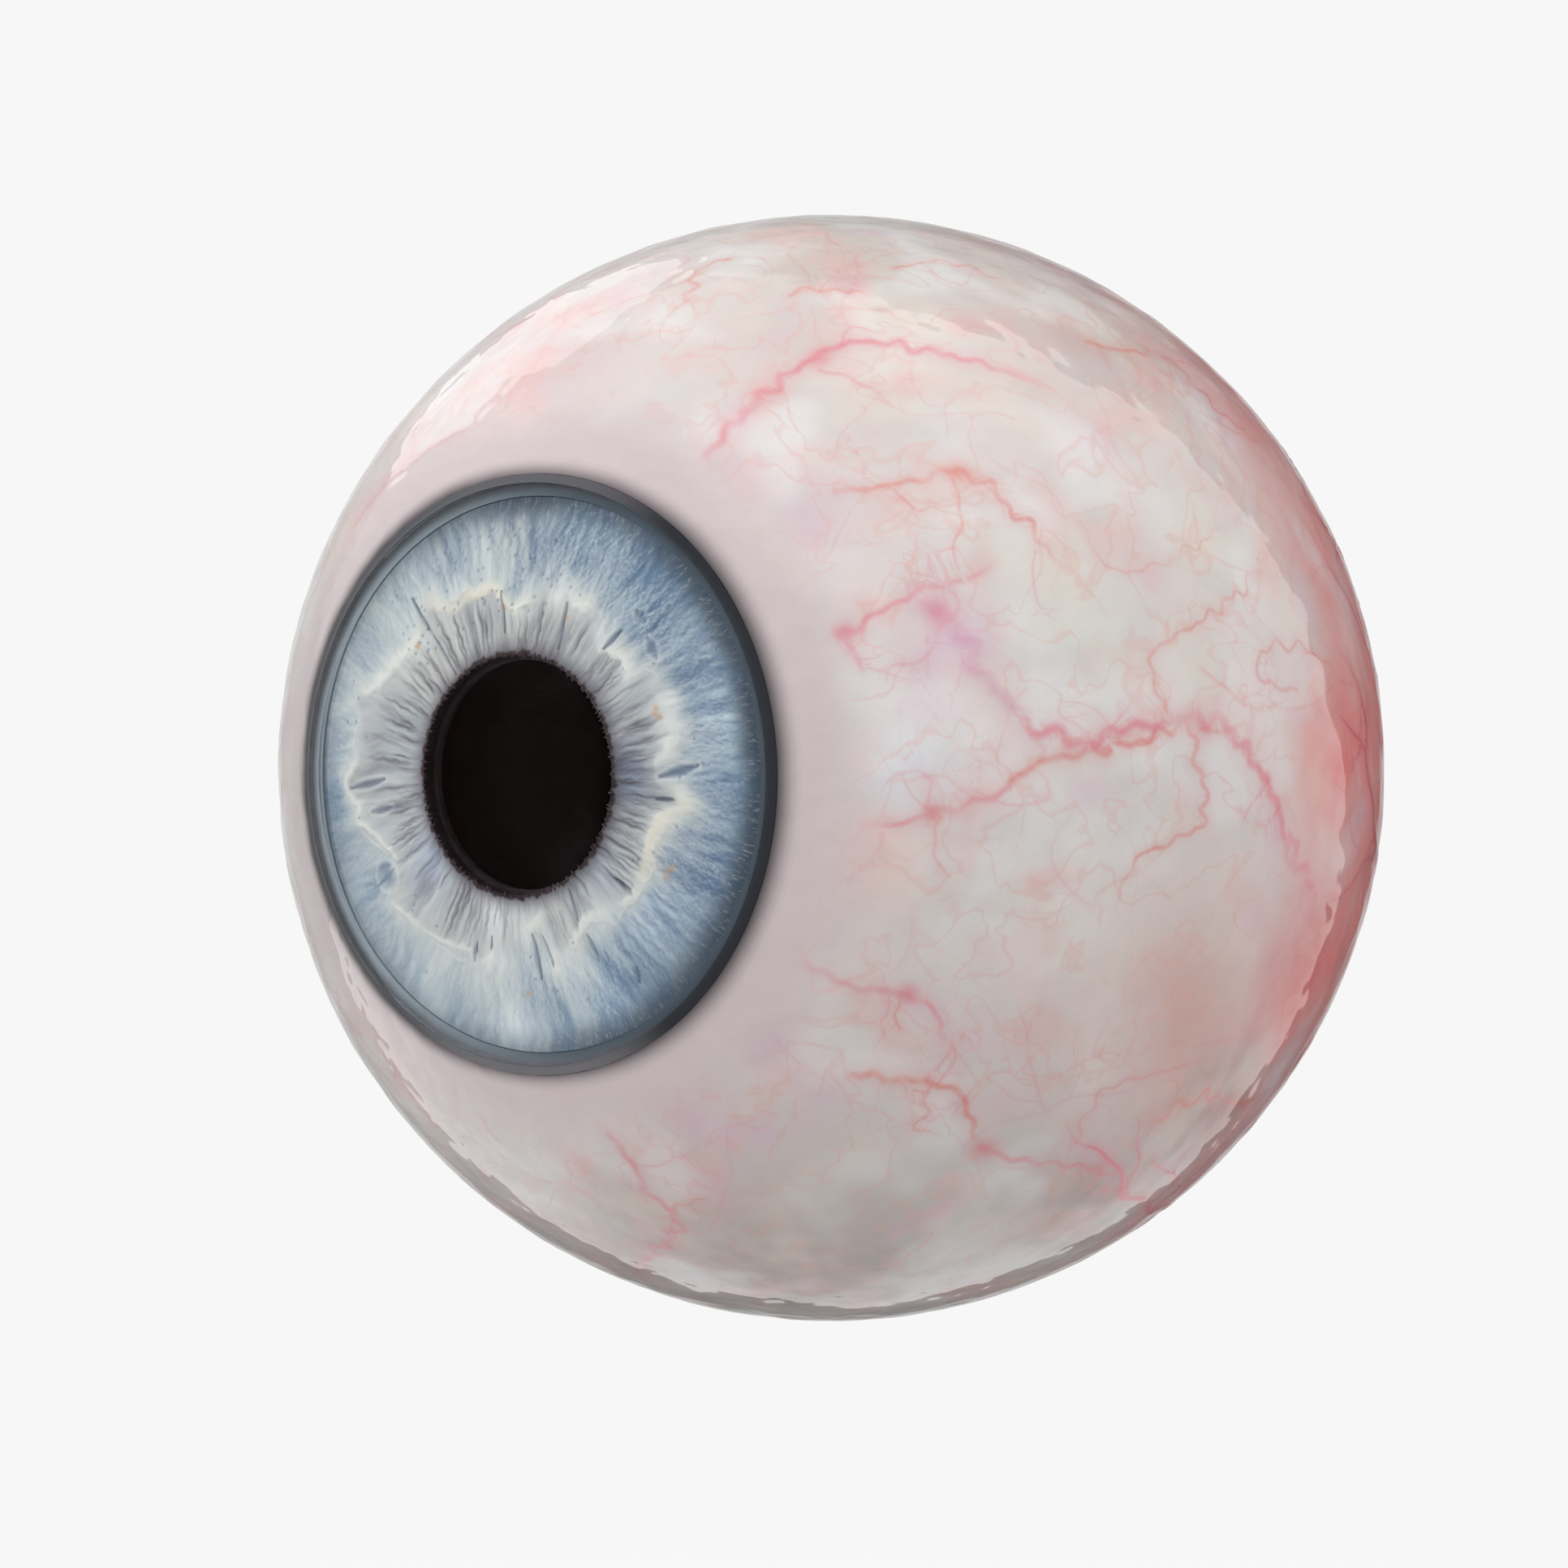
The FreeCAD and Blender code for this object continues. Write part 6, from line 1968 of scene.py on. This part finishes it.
class EYE_OT_fasteners(Operator):
    """Make the seam magnets and finish the locating pin"""

    bl_idname = "eye.fasteners"
    bl_label = "Magnets and pin"

    def execute(self, context):
        sizes = context.scene.eye_sizes
        nickel = toned_material("magnet_nickel", swatch(196, 194, 188), swatch(164, 162, 158), 1.4, 0.24, 0.3,
                                0.02, metal=1.0)
        for name, node, body in (("rear_magnets", "rear_seam_magnets", "rear_half"),
                                 ("front_magnets", "front_seam_magnets", "front_half")):
            low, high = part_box(node)
            middle = (along_axis(low) + along_axis(high)) / 2
            mesh = ring_of(name, magnet_item(), nickel, MAGNET_COUNT, MAGNET_RING, sizes.seed, middle)
            place_piece(name, mesh, nickel, body, "magnet", node)
        coat_node("locating_pin", toned_material(
            "pin_ground_steel", swatch(186, 188, 192), swatch(150, 152, 158), 1.0, 0.22, 0.25, 0.02,
            metal=1.0, stretch=(1.0, 3.0, 1.0)))
        return {"FINISHED"}


# ---- studio ----
VEIL_TILT = math.radians(20.0)      # the bright half of the studio leans down this far
VEIL_HALF_ANGLE = math.radians(126.0)
VEIL_LEVEL = 0.86                   # brightness of that half in reflections
VEIL_OVERHEAD = 0.95                # and how much more it is overhead
VEIL_BLUR = 0.008                   # half width of its edge, as a cosine
VEIL_REACH = 0.34                   # at the upper left it reaches this much further, as a cosine
VEIL_FADE = 0.38                    # and keeps this share of its brightness
DARK_LEVEL = 0.12                   # brightness of the other half
FLAGGED_SHARE = 0.12                # share that a flag leaves of the reflection over the pupil
OUTLINE_GLOW = 0.45                 # a glow behind the model that shows along its outline
LEFT_GLOW = 0.34                    # and a wider one on the left
FILL_WAY = (-0.10, -0.40, 0.91)     # most of the fill comes from here
FILL_SLOPE = 0.26
KEY_PLACE = (-0.30, -0.62, 0.46)
KEY_SIZE = 0.55
RIM_PLACE = (-0.42, 0.16, 0.34)
RIM_SIZE = 0.30
FLOOR_SIDE = 12.0                   # half the floor's side in metres
FLOOR_FADE = (0.12, 0.42)           # metres from under the globe over which the shadow fades
FLOOR_TONE = 0.24
FLOOR_BOUNCE = 0.45                 # tone of the floor for light that bounces off it


def make_camera():
    data = bpy.data.cameras.new("view")
    data.sensor_width = SENSOR
    data.lens = FOCAL_LENGTH
    data.shift_x = 0.5 - VIEW_GLOBE[0] / VIEW_SIDE
    data.shift_y = VIEW_GLOBE[1] / VIEW_SIDE - 0.5
    data.clip_start, data.clip_end = 0.01, 30.0
    camera = bpy.data.objects.new("view", data)
    bpy.context.scene.collection.objects.link(camera)
    camera.location = Vector(CENTRE) + TO_CAMERA * VIEW_DISTANCE * MM
    camera.rotation_mode = "QUATERNION"
    turn = Matrix((VIEW_RIGHT, VIEW_UP, TO_CAMERA)).transposed()
    camera.rotation_quaternion = turn.to_quaternion()
    bpy.context.scene.camera = camera


def seen_directly(tree):
    """1 for rays from the camera, straight or through a clear piece."""
    path = shade(tree, "LightPath")
    return maths(tree, "MAXIMUM", path.outputs["Is Camera Ray"], path.outputs["Is Transmission Ray"])


def make_world(studio):
    """Pale for the camera and behind clear pieces, a bright veil for reflections, a soft fill."""
    world = bpy.data.worlds.new("studio")
    bpy.context.scene.world = world
    world.use_nodes = True
    tree = world.node_tree
    tree.nodes.clear()
    way = shade(tree, "TexCoord").outputs["Generated"]

    def facing(direction):
        """Cosine between a ray's way and a direction."""
        return vector_maths(tree, "DOT_PRODUCT", way, tuple(direction))

    veil = facing((TO_CAMERA * math.cos(VEIL_TILT) - VIEW_UP * math.sin(VEIL_TILT)).normalized())
    overhead = facing((VIEW_UP - VIEW_RIGHT * 0.35).normalized())
    bright = plus(tree, VEIL_LEVEL, soft_step(tree, overhead, 0.35, 0.95, 0.0, VEIL_OVERHEAD))
    # the veil's edge is sharp, except at the upper left, where it fades and reaches the outline
    upper_left = facing((VIEW_UP * 0.8 - VIEW_RIGHT).normalized())
    reach = soft_step(tree, upper_left, 0.42, 0.78, 0.0, VEIL_REACH)
    bright = times(tree, bright, soft_step(tree, upper_left, 0.30, 0.70, 1.0, VEIL_FADE))
    edge = minus(tree, math.cos(VEIL_HALF_ANGLE), reach)
    blur = plus(tree, VEIL_BLUR, times(tree, reach, 0.5))
    gloss = soft_step(tree, veil, minus(tree, edge, blur), plus(tree, edge, blur))
    gloss = plus(tree, DARK_LEVEL, times(tree, gloss, bright))
    flagged = facing((-TO_CAMERA.x, TO_CAMERA.y, 0.0))
    gloss = times(tree, gloss, soft_step(tree, flagged, 0.45, 0.90, 1.0, FLAGGED_SHARE))
    behind = facing(-TO_CAMERA)
    gloss = plus(tree, gloss, soft_step(tree, behind, 0.92, 0.985, 0.0, OUTLINE_GLOW))
    left = facing((VIEW_UP * 0.4 - VIEW_RIGHT).normalized())
    left = times(tree, soft_step(tree, left, 0.0, 0.4), soft_step(tree, behind, 0.5, 0.9, 0.0, LEFT_GLOW))
    gloss = plus(tree, gloss, left)
    fill = plus(tree, studio.fill, times(tree, facing(FILL_WAY), FILL_SLOPE))
    pale = seen_directly(tree)
    glossy = shade(tree, "LightPath").outputs["Is Glossy Ray"]
    level = plus(tree, times(tree, glossy, gloss), times(tree, minus(tree, 1.0, glossy), fill))
    level = plus(tree, times(tree, pale, studio.background), times(tree, minus(tree, 1.0, pale), level))
    light = shade(tree, "Background", {"Color": (1.0, 1.0, 1.0, 1.0), "Strength": level})
    output = shade(tree, "OutputWorld")
    tree.links.new(light.outputs[0], output.inputs["Surface"])


def make_lamp(name, place, size, watts, glossy):
    data = bpy.data.lights.new(name, "AREA")
    data.shape, data.size, data.energy = "DISK", size, watts
    lamp = bpy.data.objects.new(name, data)
    bpy.context.scene.collection.objects.link(lamp)
    lamp.location = Vector(CENTRE) + Vector(place)
    lamp.rotation_mode = "QUATERNION"
    lamp.rotation_quaternion = Vector(place).to_track_quat("Z", "Y")
    lamp.visible_glossy = glossy


def make_floor(studio):
    """A pale floor that keeps the object's soft shadow and fades into the background."""
    mesh = bpy.data.meshes.new("floor")
    side, z = FLOOR_SIDE, studio.floor_drop
    corners = [(-side, -side, z), (side, -side, z), (side, side, z), (-side, side, z)]
    mesh.from_pydata(corners, [], [(0, 1, 2, 3)])
    floor = bpy.data.objects.new("floor", mesh)
    bpy.context.scene.collection.objects.link(floor)
    floor.visible_glossy = False
    material, tree, surface, output = new_material("floor_paper")
    place = shade(tree, "TexCoord").outputs["Object"]
    centred = vector_maths(tree, "SUBTRACT", place, (CENTRE[0], CENTRE[1], z))
    far = soft_step(tree, vector_maths(tree, "LENGTH", centred), *FLOOR_FADE)
    grain = cloud(tree, object_place(tree), 2.0, 4.0, 0.6)
    tone = mixed(tree, grain, rgba((FLOOR_TONE,) * 3), rgba((FLOOR_TONE + 0.02,) * 3))
    feed(tree, surface, {"Base Color": tone, "Roughness": 0.9, "Specular IOR Level": 0.0,
                         "Emission Color": rgba((1.0, 1.0, 1.0)),
                         "Emission Strength": studio.background - FLOOR_TONE})
    plain = shade(tree, "Emission", {"Color": rgba((1.0, 1.0, 1.0)), "Strength": studio.background})
    seen = shade(tree, "MixShader", {0: far, 1: surface.outputs[0], 2: plain.outputs[0]})
    paper = shade(tree, "BsdfDiffuse", {"Color": rgba((FLOOR_BOUNCE,) * 3)})
    either = shade(tree, "MixShader", {0: seen_directly(tree), 1: paper.outputs[0], 2: seen.outputs[0]})
    tree.links.new(either.outputs[0], output.inputs["Surface"])
    mesh.materials.append(material)


class EYE_OT_stage(Operator):
    """Make the camera, the pale studio and the floor"""

    bl_idname = "eye.stage"
    bl_label = "Studio"

    def execute(self, context):
        studio = context.scene.eye_studio
        context.scene.view_settings.view_transform = "Standard"
        make_camera()
        make_world(studio)
        make_floor(studio)
        make_lamp("key", KEY_PLACE, KEY_SIZE, studio.key, False)
        make_lamp("rim", RIM_PLACE, RIM_SIZE, studio.rim, True)
        return {"FINISHED"}


OPERATORS = (EYE_OT_stage, EYE_OT_sclera, EYE_OT_linings, EYE_OT_iris, EYE_OT_cornea, EYE_OT_lens,
             EYE_OT_ciliary, EYE_OT_vitreous, EYE_OT_nerve, EYE_OT_fasteners)


class EYE_PT_panel(Panel):
    """Lists the makers of the eye"""

    bl_idname = "EYE_PT_panel"
    bl_label = "Take-apart eye"
    bl_space_type = "VIEW_3D"
    bl_region_type = "UI"
    bl_category = "Eye"

    def draw(self, context):
        for operator in OPERATORS:
            self.layout.operator(operator.bl_idname)
        for group in (context.scene.eye_sizes, context.scene.eye_colours, context.scene.eye_studio):
            box = self.layout.box()
            for name in group.__annotations__:
                box.prop(group, name)


CLASSES = (EyeSizes, EyeColours, EyeStudio, *OPERATORS, EYE_PT_panel)


def register():
    for item in CLASSES:
        bpy.utils.register_class(item)
    bpy.types.Scene.eye_sizes = PointerProperty(type=EyeSizes)
    bpy.types.Scene.eye_colours = PointerProperty(type=EyeColours)
    bpy.types.Scene.eye_studio = PointerProperty(type=EyeStudio)


def unregister():
    del bpy.types.Scene.eye_studio, bpy.types.Scene.eye_colours, bpy.types.Scene.eye_sizes
    for item in reversed(CLASSES):
        bpy.utils.unregister_class(item)


def main():
    register()
    make_clouding_group()
    make_vessel_group()
    make_wear_group()
    make_ring_tree()
    for operator in OPERATORS:
        getattr(bpy.ops.eye, operator.bl_idname.split(".")[1])()


if __name__ == "__main__":
    main()
